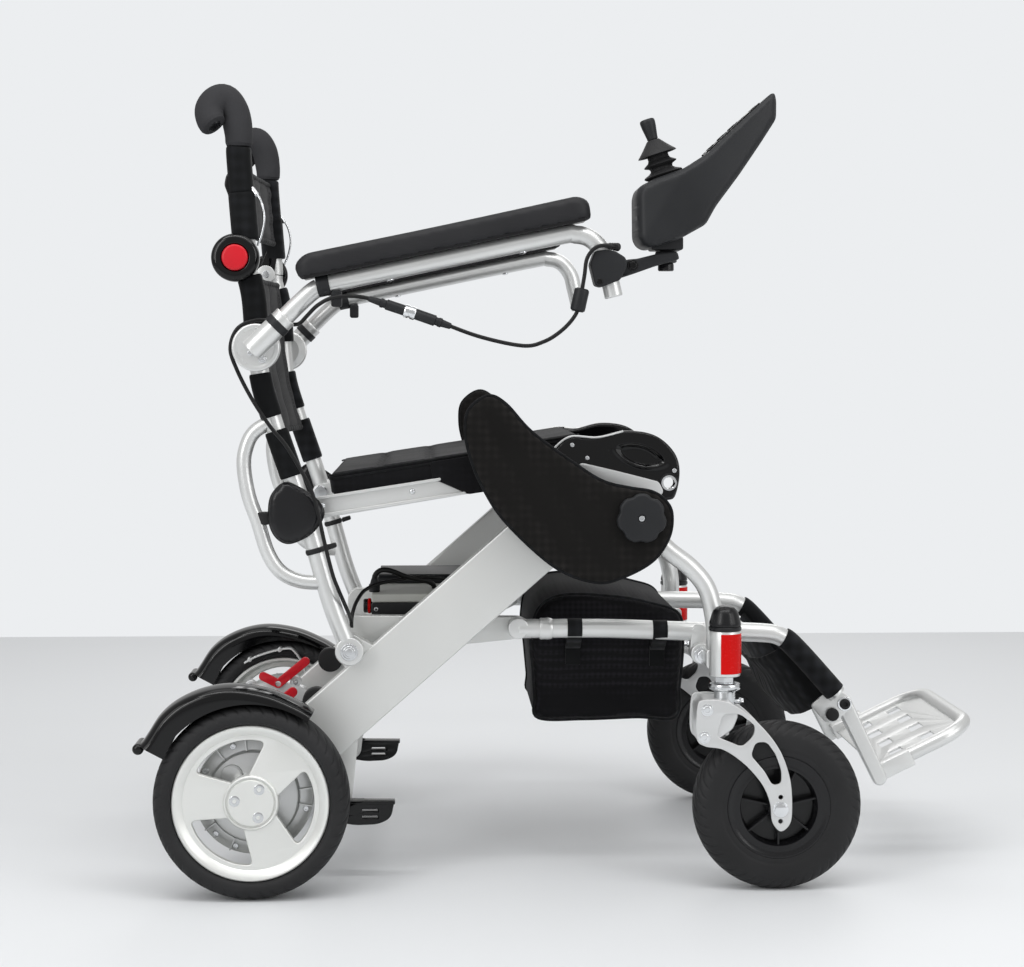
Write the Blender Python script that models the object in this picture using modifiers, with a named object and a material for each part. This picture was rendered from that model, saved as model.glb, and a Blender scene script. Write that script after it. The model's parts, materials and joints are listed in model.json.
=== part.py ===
"""A folding power wheelchair: two slanting side beams on the driven rear wheels, a front frame
with two casters that folds about the front joint, a back frame, a seat, a battery tray and a leg
rest that all follow that fold. +X is forward, +Y is the sitter's left, +Z is up, in metres.
The origin is on the floor, under the middle of the chair's box."""
from math import atan2, cos, hypot, pi, radians, sin

import bmesh
import bpy
from mathutils import Matrix, Vector

# Fits
GAP = 0.0003            # between pieces that touch
RUN = 0.0005            # between pieces that turn on each other
BORE_CLEARANCE = 0.0003  # between a pin and its bore, on the radius

# Overall width, over the rear tyres
HALF_WIDTH = 0.2925

# Joints of the side view, as (x, z)
REAR_AXLE = (-0.360, 0.108)
CASTER_AXLE = (0.225, 0.0945)
BACK_PIVOT = (-0.254, 0.2655)
SEAT_PIVOT = (-0.306, 0.421)
SEAT_FRONT = (-0.040, 0.462)
FRONT_JOINT = (0.0727, 0.416)
TRAY_JOINT = (-0.062, 0.2846)
LEG_PIVOT = (0.147, 0.2567)
FOOT_PIVOT = (0.3187, 0.193)
ARM_HINGE = (-0.3535, 0.606)
HALF_BACK_HINGE = (-0.3770, 0.705)
SWIVEL_X = 0.166

# Side beams
BEAM_INNER = 0.176
BEAM_THICK = 0.022
BEAM_DEPTH = 0.070
BEAM_ANGLE = radians(41.3)
BEAM_LENGTH = 0.425
BEAM_TAIL = 0.034
JOINT_BOSS_R = 0.026
LUG_R = 0.0165
BEAM_OUTER = BEAM_INNER + BEAM_THICK

# Frame tubes, in the layer just outside the beams
FRAME_TUBE_R = 0.0105
LAYER_GAP = 0.002
FRAME_MID = BEAM_OUTER + LAYER_GAP + FRAME_TUBE_R
FRAME_OUTER = FRAME_MID + FRAME_TUBE_R
KNUCKLE_R = 0.016
PIN_R = 0.006
PIN_HEAD_R = 0.0098
PIN_HEAD_T = 0.006

# Rear wheels
TYRE_R = 0.108
TYRE_WIDTH = 0.055
TYRE_DEPTH = 0.0216
RIM_R = TYRE_R - TYRE_DEPTH
RIM_WALL = 0.0045
RIM_WIDTH = 0.046
RIM_FACE_T = 0.008
HUB_R = 0.024
HUB_CAP_R = 0.0274
HUB_CAP_T = 0.0045
SHAFT_R = 0.008
WINDOW_IN = 0.0300
RIM_LAND = 0.0189
WINDOW_OUT = RIM_R - RIM_LAND
WINDOW_HALF_ANGLE = radians(37)
WINDOW_TURN = radians(115)
SPOKES = 3
WHEEL_MID = HALF_WIDTH - TYRE_WIDTH / 2
RIM_INNER = WHEEL_MID - RIM_WIDTH / 2
RIM_OUTER = WHEEL_MID + RIM_WIDTH / 2
RIM_FACE_OUT = RIM_OUTER - 0.006

# Motors, bolted through the beams
MOTOR_R = 0.052
MOTOR_INNER = 0.090
MOTOR_FLANGE_R = 0.082
MOTOR_FLANGE_T = 0.012
MOTOR_FLANGE_Y = 0.132
NECK_R = 0.018
GEARCASE_R = 0.066
GEARCASE_CLEARANCE = 0.0225  # to the rim's face
GEARCASE_OUTER = RIM_FACE_OUT - RIM_FACE_T - GEARCASE_CLEARANCE
LEVER_T = 0.005
LEVER_W = 0.010
LEVER_PIVOT = (-0.3589, 0.1772)
LEVER_Y = MOTOR_FLANGE_Y - 0.0035

# Fenders
FENDER_WIDTH = 0.054
FENDER_WALL = 0.003
FENDER_CLEARANCE = 0.0035
# Its outer line as (x, z) from the axle, in tyre radii
FENDER_CROWN = [(0.625, 0.93055556), (0.46296296, 1.01388889), (0.18518519, 1.13888889),
                (-0.16666667, 1.19907407), (-0.46296296, 1.16203704), (-0.72222222, 1.05555556),
                (-0.90740741, 0.91203704), (-1.05092593, 0.7037037)]
FENDER_LIP = [(-1.125, 0.61111111), (-1.15277778, 0.55555556), (-1.10185185, 0.51388889),
              (-1.0, 0.51851852)]
STAY_WIDTH = 0.016
STAY_Y = BEAM_INNER - 0.006

# Stand bar under the beams
STAND_BAR_R = 0.008
STAND_BAR = (-0.268, 0.0835)
FOOT_HEIGHT = 0.026
FOOT_THICK = 0.016

# Side guards and their knobs
GUARD_THICK = 0.010
GUARD_INNER = FRAME_OUTER + 0.003
GUARD_OUTER = GUARD_INNER + GUARD_THICK
KNOB_R = 0.0280
KNOB_T = 0.0090
KNOB_LOBES = 7
SCREW_R = 0.005

# Casters
CASTER_R = 0.0945
CASTER_WIDTH = 0.045
CASTER_HUB_R = 0.0566
CASTER_WELL_R = 0.0433
CASTER_AXLE_R = 0.005
CASTER_BOSS_R = 0.012
CASTER_RIBS = 7
CASTER_MID = 0.245
FORK_GAP = 0.0035
FORK_PLATE_T = 0.004
FORK_IN = CASTER_WIDTH / 2 + FORK_GAP
FORK_OUT = FORK_IN + FORK_PLATE_T
CUP_R = 0.0175
BARREL_R = 0.0174
BARREL_LOW = 0.240
BARREL_HIGH = 0.292
CAP_HIGH = BARREL_HIGH + 0.0274
STEM_R = 0.006
STEM_LENGTH = 0.030

# Front frame
HINGE_PLATE_INNER = 0.160
HINGE_PLATE_T = 0.015
AXLE_TUBE_R = 0.008
LEG_TUBE_R = 0.011

# Leg rest
RAIL_MID = 0.164
RAIL_R = 0.011
EYE_R = 0.012
TIE = (0.2000, 0.2784)
TIE_R = 0.0075
TAB_X = 0.1015
TAB_Z = 0.2811
LEG_BAR_INNER = 0.1425
LEG_BAR_T = 0.010
LEG_LUG_INNER = RAIL_MID + RAIL_R + 0.0025
BRACKET_INNER = LEG_BAR_INNER + LEG_BAR_T + RUN
LEG_BAR_W = 0.020
FOOT_RIM_R = 0.0085
FOOT_PLATE_T = 0.003
FOOT_HALF_WIDTH = 0.1415
FOOT_TILT = radians(26)
FOOT_REACH = 0.1269
LEG_BOTTOM = (0.3625, 0.1035)
STRAP_T = 0.004
BAG_HALF_WIDTH = 0.1365

# Battery tray
BAR_INNER = 0.1375
BAR_T = 0.015
FLOOR_T = 0.003
FLOOR_Z = 0.270

# Seat
SEAT_RAIL_INNER = 0.177
SEAT_RAIL_T = 0.020
SEAT_RAIL_H = 0.017
SEAT_PAD_T = 0.030
SEAT_PAD_HALF = SEAT_RAIL_INNER + SEAT_RAIL_T
SEAT_NOSE_HALF = HINGE_PLATE_INNER - 0.006

# Armrests
ARM_MID = 0.2665
ARM_TUBE_R = 0.010
ARM_DISC_R = 0.0262
ARM_DISC_T = 0.012
ARM_DISC_INNER = ARM_MID - ARM_TUBE_R - ARM_DISC_T
SOCKET_R = 0.0135
PAD_HALF_WIDTH = 0.020
PAD_T = 0.026
PAD_LENGTH = 0.325
ARM_KINK = (-0.2860, 0.6725)
ARM_FRONT = (-0.0210, 0.7280)

# Back frame, half folding
HINGE_OFFSET = 0.0109
HUB_INNER = FRAME_OUTER + GAP
HINGE_PIN_R = 0.005
HINGE_EYE_T = 0.004
HINGE_EYE_INNER = BEAM_OUTER + LAYER_GAP - GAP - HINGE_EYE_T
LOWER_POST = [(-0.3661, 0.6950), (-0.3582, 0.6588), (-0.3526, 0.5791), (-0.3392, 0.5275),
              (-0.3167, 0.4602), (-0.2965, 0.3974), (-0.2752, 0.3222), (-0.2585, 0.2770)]
HUB_DISC_R = 0.0265
HUB_DISC_T = 0.018
BUTTON_R = 0.0140
BUTTON_TRAVEL = 0.005
GRIP_R = 0.0146
SLING_T = 0.008

# Controller
CONTROLLER_MID = 0.240
CONTROLLER_WIDTH = 0.086
SWIVEL_PIN_X = 0.098
BOSS_R = 0.012
STICK_BASE = (0.096, 0.7950)
STICK_TILT = radians(17.5)
STICK_WELL_R = 0.0165
STICK_WELL_DEPTH = 0.020
BALL_R = 0.0035
STICK_R = 0.0040
STICK_PIVOT = -0.010
KEY_R = 0.0055
KEY_BASE = (0.1480, 0.8254)
KEY_TILT = radians(-43)

# Cables, on the sitter's right: along the armrest, down the back post, and over the tray
ARM_CABLE = [
    (0.0430, -0.2740, 0.7150), (0.0350, -0.2820, 0.7160), (0.0190, -0.2850, 0.7150),
    (0.0080, -0.2850, 0.7030), (0.0046, -0.2850, 0.6823),
    (-0.0009, -0.2850, 0.6516), (-0.0074, -0.2850, 0.6374), (-0.0211, -0.2850, 0.6232),
    (-0.0392, -0.2850, 0.6122), (-0.0622, -0.2850, 0.6078), (-0.1093, -0.2850, 0.6177),
    (-0.1575, -0.2850, 0.6352), (-0.1981, -0.2850, 0.6483), (-0.2350, -0.2850, 0.6600),
    (-0.2650, -0.2850, 0.6600), (-0.2830, -0.2840, 0.6520), (-0.2960, -0.2760, 0.6400),
    (-0.3030, -0.2640, 0.6335), (-0.3080, -0.2500, 0.6315), (-0.3108, -0.2432, 0.6315)]
BACK_CABLE = [
    (-0.31105, -0.2426, 0.6315), (-0.3130, -0.2380, 0.6315), (-0.3300, -0.2340, 0.6340),
    (-0.3535, -0.2340, 0.6365), (-0.3745, -0.2340, 0.6275),
    (-0.3830, -0.2340, 0.6060), (-0.3765, -0.2340, 0.5830),
    (-0.3600, -0.2340, 0.5500), (-0.3400, -0.2340, 0.5193), (-0.3229, -0.2340, 0.4982),
    (-0.3074, -0.2340, 0.4726), (-0.2963, -0.2340, 0.4515), (-0.2885, -0.2340, 0.4271),
    (-0.2800, -0.2340, 0.3880), (-0.2715, -0.2338, 0.3540), (-0.2655, -0.2300, 0.3370),
    (-0.2610, -0.2190, 0.3240), (-0.2580, -0.2050, 0.3140), (-0.2560, -0.1900, 0.3060),
    (-0.2545, -0.1765, 0.2990), (-0.2535, -0.1675, 0.2925), (-0.2535, -0.1675, 0.2860)]
TRAY_CABLE = [
    (-0.2535, -0.1628, 0.2860), (-0.2535, -0.1628, 0.2925), (-0.2528, -0.1610, 0.3000),
    (-0.2510, -0.1530, 0.3070), (-0.2480, -0.1420, 0.3140), (-0.2400, -0.1250, 0.3240),
    (-0.2255, -0.1050, 0.3295), (-0.2067, -0.0900, 0.3320), (-0.1856, -0.0750, 0.3340),
    (-0.1642, -0.0600, 0.3330), (-0.1480, -0.0500, 0.3300), (-0.1385, -0.0435, 0.3255),
    (-0.1370, -0.0430, 0.3215), (-0.1370, -0.0430, 0.3197)]
CABLE_R = 0.0022

SIDES = {"right": -1, "left": 1}


# Scene set-up
for old in list(bpy.data.objects):
    bpy.data.objects.remove(old, do_unlink=True)


def new_collection(name):
    group = bpy.data.collections.new(name)
    bpy.context.scene.collection.children.link(group)
    return group


parts = new_collection("folding_power_wheelchair")
tools = new_collection("cutters")


def new_material(name, colour, roughness, metallic=0.0):
    """colour is linear red, green, blue."""
    material = bpy.data.materials.new(name)
    material.use_nodes = True
    shader = material.node_tree.nodes["Principled BSDF"]
    shader.inputs["Base Color"].default_value = (*colour, 1.0)
    shader.inputs["Roughness"].default_value = roughness
    shader.inputs["Metallic"].default_value = metallic
    return material


SILVER_PAINT = (0.50, 0.51, 0.51)
BLACK = (0.012, 0.012, 0.013)
CLOTH = (0.008, 0.008, 0.010)
RUBBER = (0.020, 0.020, 0.021)
RED = (0.55, 0.02, 0.03)


# Geometry helpers. Each returns a mesh object in world coordinates, kept with the cutters.
def as_tool(name, mesh):
    tool = bpy.data.objects.new(name, mesh)
    tool.hide_render = True
    tool.display_type = "WIRE"
    tools.objects.link(tool)
    return tool


def from_bmesh(name, bm):
    mesh = bpy.data.meshes.new(name)
    bm.to_mesh(mesh)
    bm.free()
    return as_tool(name, mesh)


def evaluated(source, name, weld=1e-6):
    """The source object as its modifiers and curve settings make it, as one welded mesh."""
    bpy.context.view_layer.update()
    mesh = bpy.data.meshes.new_from_object(source.evaluated_get(bpy.context.evaluated_depsgraph_get()))
    mesh.transform(source.matrix_world)
    data = source.data
    bpy.data.objects.remove(source, do_unlink=True)
    if isinstance(data, bpy.types.Curve):
        bpy.data.curves.remove(data)
    bm = bmesh.new()
    bm.from_mesh(mesh)
    bmesh.ops.remove_doubles(bm, verts=bm.verts, dist=weld)
    bmesh.ops.recalc_face_normals(bm, faces=bm.faces)
    bm.to_mesh(mesh)
    bm.free()
    return as_tool(name, mesh)


def point(xz, y):
    return Vector((xz[0], y, xz[1]))


def block(low, high, name="block"):
    bm = bmesh.new()
    size = [b - a for a, b in zip(low, high)]
    middle = [(a + b) / 2 for a, b in zip(low, high)]
    bmesh.ops.create_cube(bm, matrix=Matrix.Translation(middle) @ Matrix.Diagonal((*size, 1.0)))
    return from_bmesh(name, bm)


def rod(start, end, radius, sides=12, end_radius=None, name="rod"):
    """A cylinder or a cone from start to end."""
    start, end = Vector(start), Vector(end)
    axis = end - start
    turn = Vector((0, 0, 1)).rotation_difference(axis).to_matrix().to_4x4()
    bm = bmesh.new()
    bmesh.ops.create_cone(
        bm, cap_ends=True, segments=sides, radius1=radius,
        radius2=radius if end_radius is None else end_radius, depth=axis.length,
        matrix=Matrix.Translation((start + end) / 2) @ turn)
    return from_bmesh(name, bm)


def cross_rod(xz, y_from, y_to, radius, sides=12):
    """A cylinder along Y."""
    low, high = sorted((y_from, y_to))
    return rod(point(xz, low), point(xz, high), radius, sides)


def plate(outline, y_from, y_to, holes=(), name="plate"):
    """A flat plate in the XZ plane, as thick as y_from to y_to. holes are outlines too."""
    low, high = sorted((y_from, y_to))
    curve = bpy.data.curves.new(name, "CURVE")
    curve.dimensions = "2D"
    curve.fill_mode = "BOTH"
    curve.extrude = (high - low) / 2
    curve.resolution_u = 1
    for loop in (outline, *holes):
        spline = curve.splines.new("POLY")
        spline.points.add(len(loop) - 1)
        for target, (x, z) in zip(spline.points, loop):
            target.co = (x, z, 0, 1)
        spline.use_cyclic_u = True
    sheet = bpy.data.objects.new(name, curve)
    tools.objects.link(sheet)
    sheet.matrix_world = Matrix.Translation((0, (low + high) / 2, 0)) @ Matrix.Rotation(pi / 2, 4, "X")
    return evaluated(sheet, name)


def tube(points, radius, sides=8, name="tube"):
    """A round tube with closed ends along the points."""
    curve = bpy.data.curves.new(name, "CURVE")
    curve.dimensions = "3D"
    curve.bevel_depth = radius
    curve.bevel_resolution = (sides - 4) // 2
    curve.use_fill_caps = True
    curve.resolution_u = 1
    curve.render_resolution_u = 0
    spline = curve.splines.new("POLY")
    spline.points.add(len(points) - 1)
    for target, place in zip(spline.points, points):
        target.co = (*place, 1)
    wire = bpy.data.objects.new(name, curve)
    tools.objects.link(wire)
    return evaluated(wire, name)


def turned(profile, centre, direction, steps, name="turned", closed=False):
    """A profile of (radius, along) points, turned about the line through centre along direction.
    It runs down the outer side, from the far end of the line to its start."""
    bm = bmesh.new()
    ring = [bm.verts.new((r, 0, along)) for r, along in profile]
    count = len(ring) if closed else len(ring) - 1
    for i in range(count):
        bm.edges.new((ring[i], ring[(i + 1) % len(ring)]))
    mesh = bpy.data.meshes.new(name)
    bm.to_mesh(mesh)
    bm.free()
    blank = bpy.data.objects.new(name, mesh)
    tools.objects.link(blank)
    screw = blank.modifiers.new("turn", "SCREW")
    screw.steps = screw.render_steps = steps
    screw.use_merge_vertices = True
    screw.merge_threshold = 1e-5
    turn = Vector((0, 0, 1)).rotation_difference(Vector(direction)).to_matrix().to_4x4()
    blank.matrix_world = Matrix.Translation(centre) @ turn
    return evaluated(blank, name)


def disc_points(centre, radius, count=16, start=0.0):
    return [(centre[0] + radius * cos(start + 2 * pi * i / count),
             centre[1] + radius * sin(start + 2 * pi * i / count)) for i in range(count)]


def arc_points(centre, radius, start, end, count):
    """count + 1 points along an arc, angles in radians."""
    return [(centre[0] + radius * cos(start + (end - start) * i / count),
             centre[1] + radius * sin(start + (end - start) * i / count)) for i in range(count + 1)]


def smooth_path(points, per_span=3):
    """A Catmull-Rom curve through the points."""
    points = [Vector(p) for p in points]
    ends = [2 * points[0] - points[1]] + points + [2 * points[-1] - points[-2]]
    path = []
    for a, b, c, d in zip(ends, ends[1:], ends[2:], ends[3:]):
        for i in range(per_span):
            t = i / per_span
            path.append(0.5 * (2 * b + (c - a) * t + (2 * a - 5 * b + 4 * c - d) * t ** 2
                               + (3 * b - a - 3 * c + d) * t ** 3))
    return path + [points[-1]]


def side_path(points, y, per_span=3):
    """A smooth path through (x, z) points, all at one y."""
    return smooth_path([point(p, y) for p in points], per_span)


def stadium(a, b, radius_a, radius_b, count=5):
    """The outline of a bar with round ends about a and b."""
    along = atan2(b[1] - a[1], b[0] - a[0])
    return (arc_points(b, radius_b, along - pi / 2, along + pi / 2, count)
            + arc_points(a, radius_a, along + pi / 2, along + 3 * pi / 2, count))


def rounded(outline, radius, count=1):
    """The outline with each corner cut back by an arc that touches both of its sides."""
    result = []
    for before, corner, after in zip(outline[-1:] + outline[:-1], outline, outline[1:] + outline[:1]):
        here = Vector(corner)
        u = (Vector(before) - here)
        v = (Vector(after) - here)
        reach = min(radius, u.length * 0.45, v.length * 0.45)
        start, end = here + u.normalized() * reach, here + v.normalized() * reach
        for i in range(count + 1):
            t = i / count
            mix = start * (1 - t) ** 2 + here * 2 * t * (1 - t) + end * t ** 2
            result.append((mix.x, mix.y))
    return result


def fuse(name, solids, material, cuts=(), pivot=(0.0, 0.0, 0.0)):
    """One sub-part: the first solid, joined with the others, less the cuts, its origin at pivot."""
    base = solids[0]
    tools.objects.unlink(base)
    parts.objects.link(base)
    base.name = base.data.name = name
    base.hide_render = False
    base.display_type = "TEXTURED"
    for other in solids[1:]:
        add_boolean(base, other, "UNION")
    for other in cuts:
        add_boolean(base, other, "DIFFERENCE")
    base.data.transform(Matrix.Translation(-Vector(pivot)))
    base.location = pivot
    base.data.materials.clear()
    base.data.materials.append(material)
    for tool in (*solids[1:], *cuts):
        tool.data.materials.clear()
        tool.data.materials.append(material)
    base.data.shade_smooth()
    base.data.set_sharp_from_angle(angle=radians(35))
    return base


def soften(target, width, segments=1):
    bevel = target.modifiers.new("soft_edges", "BEVEL")
    bevel.width = width
    bevel.segments = segments
    bevel.limit_method = "ANGLE"
    bevel.angle_limit = radians(40)


def add_boolean(target, other, operation):
    step = target.modifiers.new(operation.lower(), "BOOLEAN")
    step.operation = operation
    step.object = other
    step.solver = "EXACT"


def beam_point(along, across):
    """A point of the beam's own frame: along it from the rear axle, and across it, upwards."""
    return (REAR_AXLE[0] + along * cos(BEAM_ANGLE) - across * sin(BEAM_ANGLE),
            REAR_AXLE[1] + along * sin(BEAM_ANGLE) + across * cos(BEAM_ANGLE))


# Chassis
silver = new_material("silver_painted_aluminium", SILVER_PAINT, 0.38, 0.6)
black_gloss = new_material("black_gloss_plastic", BLACK, 0.15)
black_matt = new_material("black_matt_plastic", BLACK, 0.55)
black_cloth = new_material("black_cloth", CLOTH, 0.95)
rubber = new_material("black_rubber", RUBBER, 0.75)
red = new_material("red_plastic", RED, 0.4)


def side_beam(side, label):
    """Box beam from the rear axle up to the front joint, with the ear of the back pivot."""
    half = BEAM_DEPTH / 2
    boss = arc_points(FRONT_JOINT, JOINT_BOSS_R, radians(-70), radians(85), 6)
    outline = ([beam_point(-BEAM_TAIL, half), beam_point(-BEAM_TAIL, -half),
                beam_point(BEAM_LENGTH, -half)]
               + boss + [beam_point(BEAM_LENGTH, half)])
    inner, outer = side * BEAM_INNER, side * BEAM_OUTER
    neck = disc_points(REAR_AXLE, NECK_R + 0.001, 16)
    joint = disc_points(FRONT_JOINT, AXLE_TUBE_R + BORE_CLEARANCE)
    beam = plate(outline, inner, outer, (neck, joint), "side_beam_" + label)
    foot = beam_point(0.185, half - 0.012)
    ear = plate(stadium(foot, BACK_PIVOT, LUG_R + 0.008, LUG_R), side * (BEAM_INNER + 0.001),
                side * (BEAM_OUTER - 0.001))
    head = FRAME_OUTER + GAP
    pin = cross_rod(BACK_PIVOT, side * (BAR_INNER - 0.004), side * (head + 0.001), PIN_R)
    cap = cross_rod(BACK_PIVOT, side * head, side * (head + PIN_HEAD_T), PIN_HEAD_R)
    hanger_top = (STAND_BAR[0] + 0.010, STAND_BAR[1] + 0.075)
    hanger = plate(stadium(STAND_BAR, hanger_top, STAND_BAR_R + 0.006, 0.012, 3),
                   side * (BEAM_INNER + 0.0005), side * (BEAM_INNER + 0.0065))
    bar_hole = cross_rod(STAND_BAR, side * BEAM_INNER, side * BEAM_OUTER, STAND_BAR_R + BORE_CLEARANCE)
    return fuse("side_beam_" + label, [beam, ear, pin, cap, hanger], silver, [bar_hole])


def stand_bar():
    """Cross bar below the beams, with a slotted foot at each end."""
    reach = BEAM_OUTER + 0.004
    bar = cross_rod(STAND_BAR, -reach, reach, STAND_BAR_R)
    solids, slots = [bar], []
    x, z = STAND_BAR
    low = z - 0.0195
    outline = rounded([(x - 0.0085, z + 0.009), (x - 0.004, low + 0.004), (x + 0.020, low),
                       (x + 0.058, low + 0.003), (x + 0.063, low + FOOT_HEIGHT),
                       (x + 0.020, low + FOOT_HEIGHT + 0.001)], 0.006)
    for side in SIDES.values():
        solids.append(plate(outline, side * (reach - 0.0015), side * (reach - 0.0015 - FOOT_THICK)))
        for height in (0.009, 0.017):
            near, far = sorted((side * (reach + 0.004), side * (reach - 0.030)))
            slots.append(block((x + 0.028, near, low + height), (x + 0.046, far, low + height + 0.003)))
    return fuse("stand_bar", solids, black_matt, slots)


def motor(side, label):
    """Geared motor: a body inside the beam, a neck through it, the gear case and shaft outside."""
    centre = point(REAR_AXLE, 0)
    case_inner = BEAM_OUTER + GAP
    profile = [
        (0, RIM_FACE_OUT - HUB_CAP_T - GAP), (SHAFT_R, RIM_FACE_OUT - HUB_CAP_T - GAP),
        (SHAFT_R, GEARCASE_OUTER - 0.002),
        (GEARCASE_R * 0.55, GEARCASE_OUTER - 0.002), (GEARCASE_R - 0.006, GEARCASE_OUTER - 0.010),
        (GEARCASE_R, GEARCASE_OUTER - 0.014), (GEARCASE_R, case_inner), (NECK_R, case_inner),
        (NECK_R, BEAM_INNER - GAP), (MOTOR_R, BEAM_INNER - GAP),
        (MOTOR_R, MOTOR_FLANGE_Y + MOTOR_FLANGE_T), (MOTOR_FLANGE_R, MOTOR_FLANGE_Y + MOTOR_FLANGE_T),
        (MOTOR_FLANGE_R, MOTOR_FLANGE_Y), (MOTOR_R * 0.92, MOTOR_FLANGE_Y - 0.004),
        (MOTOR_R * 0.86, MOTOR_INNER + 0.008), (MOTOR_R * 0.6, MOTOR_INNER), (0, MOTOR_INNER)]
    body = turned(profile, centre, (0, side, 0), 16, "motor_" + label)
    post = cross_rod(LEVER_PIVOT, side * (MOTOR_FLANGE_Y + 0.002), side * (LEVER_Y - LEVER_T), 0.0035, 10)
    return fuse("motor_" + label, [body, post], silver)


def clutch_lever(side, label):
    """L-shaped freewheel lever on the motor's flange."""
    x, z = LEVER_PIVOT
    long_end = (x + 0.037, z + 0.0295)
    short_end = (x - 0.018, z + 0.013)
    outer = side * LEVER_Y
    inner = side * (LEVER_Y - LEVER_T)
    arm = plate(stadium(LEVER_PIVOT, long_end, LEVER_W * 0.7, LEVER_W / 2), inner, outer)
    toe = plate(stadium(LEVER_PIVOT, short_end, LEVER_W * 0.6, LEVER_W / 2),
                inner + side * 0.0003, outer - side * 0.0003)
    bore = cross_rod(LEVER_PIVOT, inner - side * 0.002, outer + side * 0.002, 0.0035 + BORE_CLEARANCE, 10)
    return fuse("clutch_lever_" + label, [arm, toe], red, [bore], pivot=point(LEVER_PIVOT, inner))


def fender(side, label):
    """Channel over the tyre, deeper at the back, with a flared lip and a stay to the motor."""
    inner_r = TYRE_R + FENDER_CLEARANCE
    x, z = REAR_AXLE
    front, tail = radians(63), radians(141)
    crown, lip = ([(x + TYRE_R * u, z + TYRE_R * v) for u, v in line] for line in (FENDER_CROWN, FENDER_LIP))
    mouth = arc_points(REAR_AXLE, inner_r, tail, front, 9)
    outer_side, inner_side = HALF_WIDTH - GAP, HALF_WIDTH - GAP - FENDER_WIDTH
    whole = plate(crown + lip + mouth, side * inner_side, side * outer_side, name="fender_" + label)
    wall = FENDER_WALL
    inside = [(px - wall * (px - x) / hypot(px - x, pz - z), pz - wall * (pz - z) / hypot(px - x, pz - z))
              for px, pz in crown]
    below = arc_points(REAR_AXLE, inner_r - 0.006, tail + 0.02, front - 0.10, 6)
    channel = plate([(inside[0][0] + 0.012, inside[0][1] - 0.008)] + inside[1:] + below,
                    side * (inner_side + wall), side * (outer_side - wall))
    soften(whole, 0.0045)
    top = (x + 0.006, z + TYRE_R + 0.0125)
    stay_out = plate([(top[0] - STAY_WIDTH / 2, top[1] - 0.001), (top[0] + STAY_WIDTH / 2, top[1] - 0.001),
                      (top[0] + STAY_WIDTH / 2, top[1] - 0.004), (top[0] - STAY_WIDTH / 2, top[1] - 0.004)],
                     side * (inner_side + 0.0015), side * (STAY_Y - 0.0015))
    stay_down = plate([(top[0] - STAY_WIDTH / 2 + 0.0004, top[1] - 0.0005),
                       (top[0] + STAY_WIDTH / 2 - 0.0004, top[1] - 0.0005),
                       (top[0] + STAY_WIDTH / 2 - 0.0004, z + MOTOR_R + GAP),
                       (top[0] - STAY_WIDTH / 2 + 0.0004, z + MOTOR_R + GAP)],
                      side * (STAY_Y - 0.003), side * STAY_Y)
    return fuse("fender_" + label, [whole, stay_out, stay_down], black_gloss, [channel])


def side_guard(side, label):
    """Black padded crescent over the front joint, on two stand-offs from the beam."""
    outline = smooth_outline([
        (-0.0986, 0.5526), (-0.1200, 0.5370), (-0.1235, 0.5120), (-0.1186, 0.4859), (-0.1052, 0.4526),
        (-0.0786, 0.4115), (-0.0241, 0.3615), (0.0214, 0.3437), (0.0525, 0.3493), (0.0869, 0.3682),
        (0.1047, 0.3948), (0.1080, 0.4204), (0.1003, 0.4382), (0.0869, 0.4481), (0.0525, 0.4570),
        (0.0036, 0.4748), (-0.0486, 0.5115), (-0.0786, 0.5437)], 1)
    hole = disc_points(FRONT_JOINT, SCREW_R + RUN, 12)
    pad = plate(outline, side * GUARD_INNER, side * GUARD_OUTER, (hole,), "side_guard_" + label)
    soften(pad, 0.0025)
    stands = [cross_rod(beam_point(along, across), side * (BEAM_OUTER + GAP), side * (GUARD_INNER + 0.003),
                        0.007, 8) for along, across in ((0.450, -0.012), (0.425, 0.020))]
    return fuse("side_guard_" + label, [pad] + stands, black_cloth)


def smooth_outline(points, per_span):
    """A closed Catmull-Rom outline through the points."""
    result = []
    count = len(points)
    for i in range(count):
        a, b, c, d = (Vector(points[(i + k - 1) % count]) for k in range(4))
        for step in range(per_span):
            t = step / per_span
            place = 0.5 * (2 * b + (c - a) * t + (2 * a - 5 * b + 4 * c - d) * t ** 2
                           + (3 * b - a - 3 * c + d) * t ** 3)
            result.append((place.x, place.y))
    return result


def guard_knob(side, label):
    """Lobed knob whose screw passes through the guard."""
    inner, outer = GUARD_OUTER + GAP, GUARD_OUTER + GAP + KNOB_T
    outline = []
    for i in range(KNOB_LOBES * 3):
        angle = 2 * pi * i / (KNOB_LOBES * 3)
        radius = KNOB_R * (1 - 0.07 * (0.5 + 0.5 * cos(KNOB_LOBES * angle)) ** 2)
        outline.append((FRONT_JOINT[0] + radius * cos(angle), FRONT_JOINT[1] + radius * sin(angle)))
    head = plate(outline, side * inner, side * outer, name="guard_knob_" + label)
    soften(head, 0.0015)
    screw = cross_rod(FRONT_JOINT, side * (inner + 0.003), side * (FRAME_OUTER + RUN), SCREW_R)
    return fuse("guard_knob_" + label, [head, screw], black_matt, pivot=point(FRONT_JOINT, side * inner))


# Rear wheels
def rear_tyre(side, label):
    """Solid tyre with a rounded tread."""
    half = TYRE_WIDTH / 2
    bead = RIM_R + GAP
    bulge = [(TYRE_R, -half * 0.38), (TYRE_R, half * 0.38)]
    upper = [(TYRE_R - 0.0030, half * 0.72), (TYRE_R - 0.0095, half), (bead + 0.003, half * 0.93),
             (bead, half * 0.78)]
    ring = upper[::-1] + bulge[::-1] + [(r, -a) for r, a in upper]
    return fuse("rear_tyre_" + label,
                [turned(ring, point(REAR_AXLE, side * WHEEL_MID), (0, 1, 0), 26, closed=True)],
                rubber, pivot=point(REAR_AXLE, side * WHEEL_MID))


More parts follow.
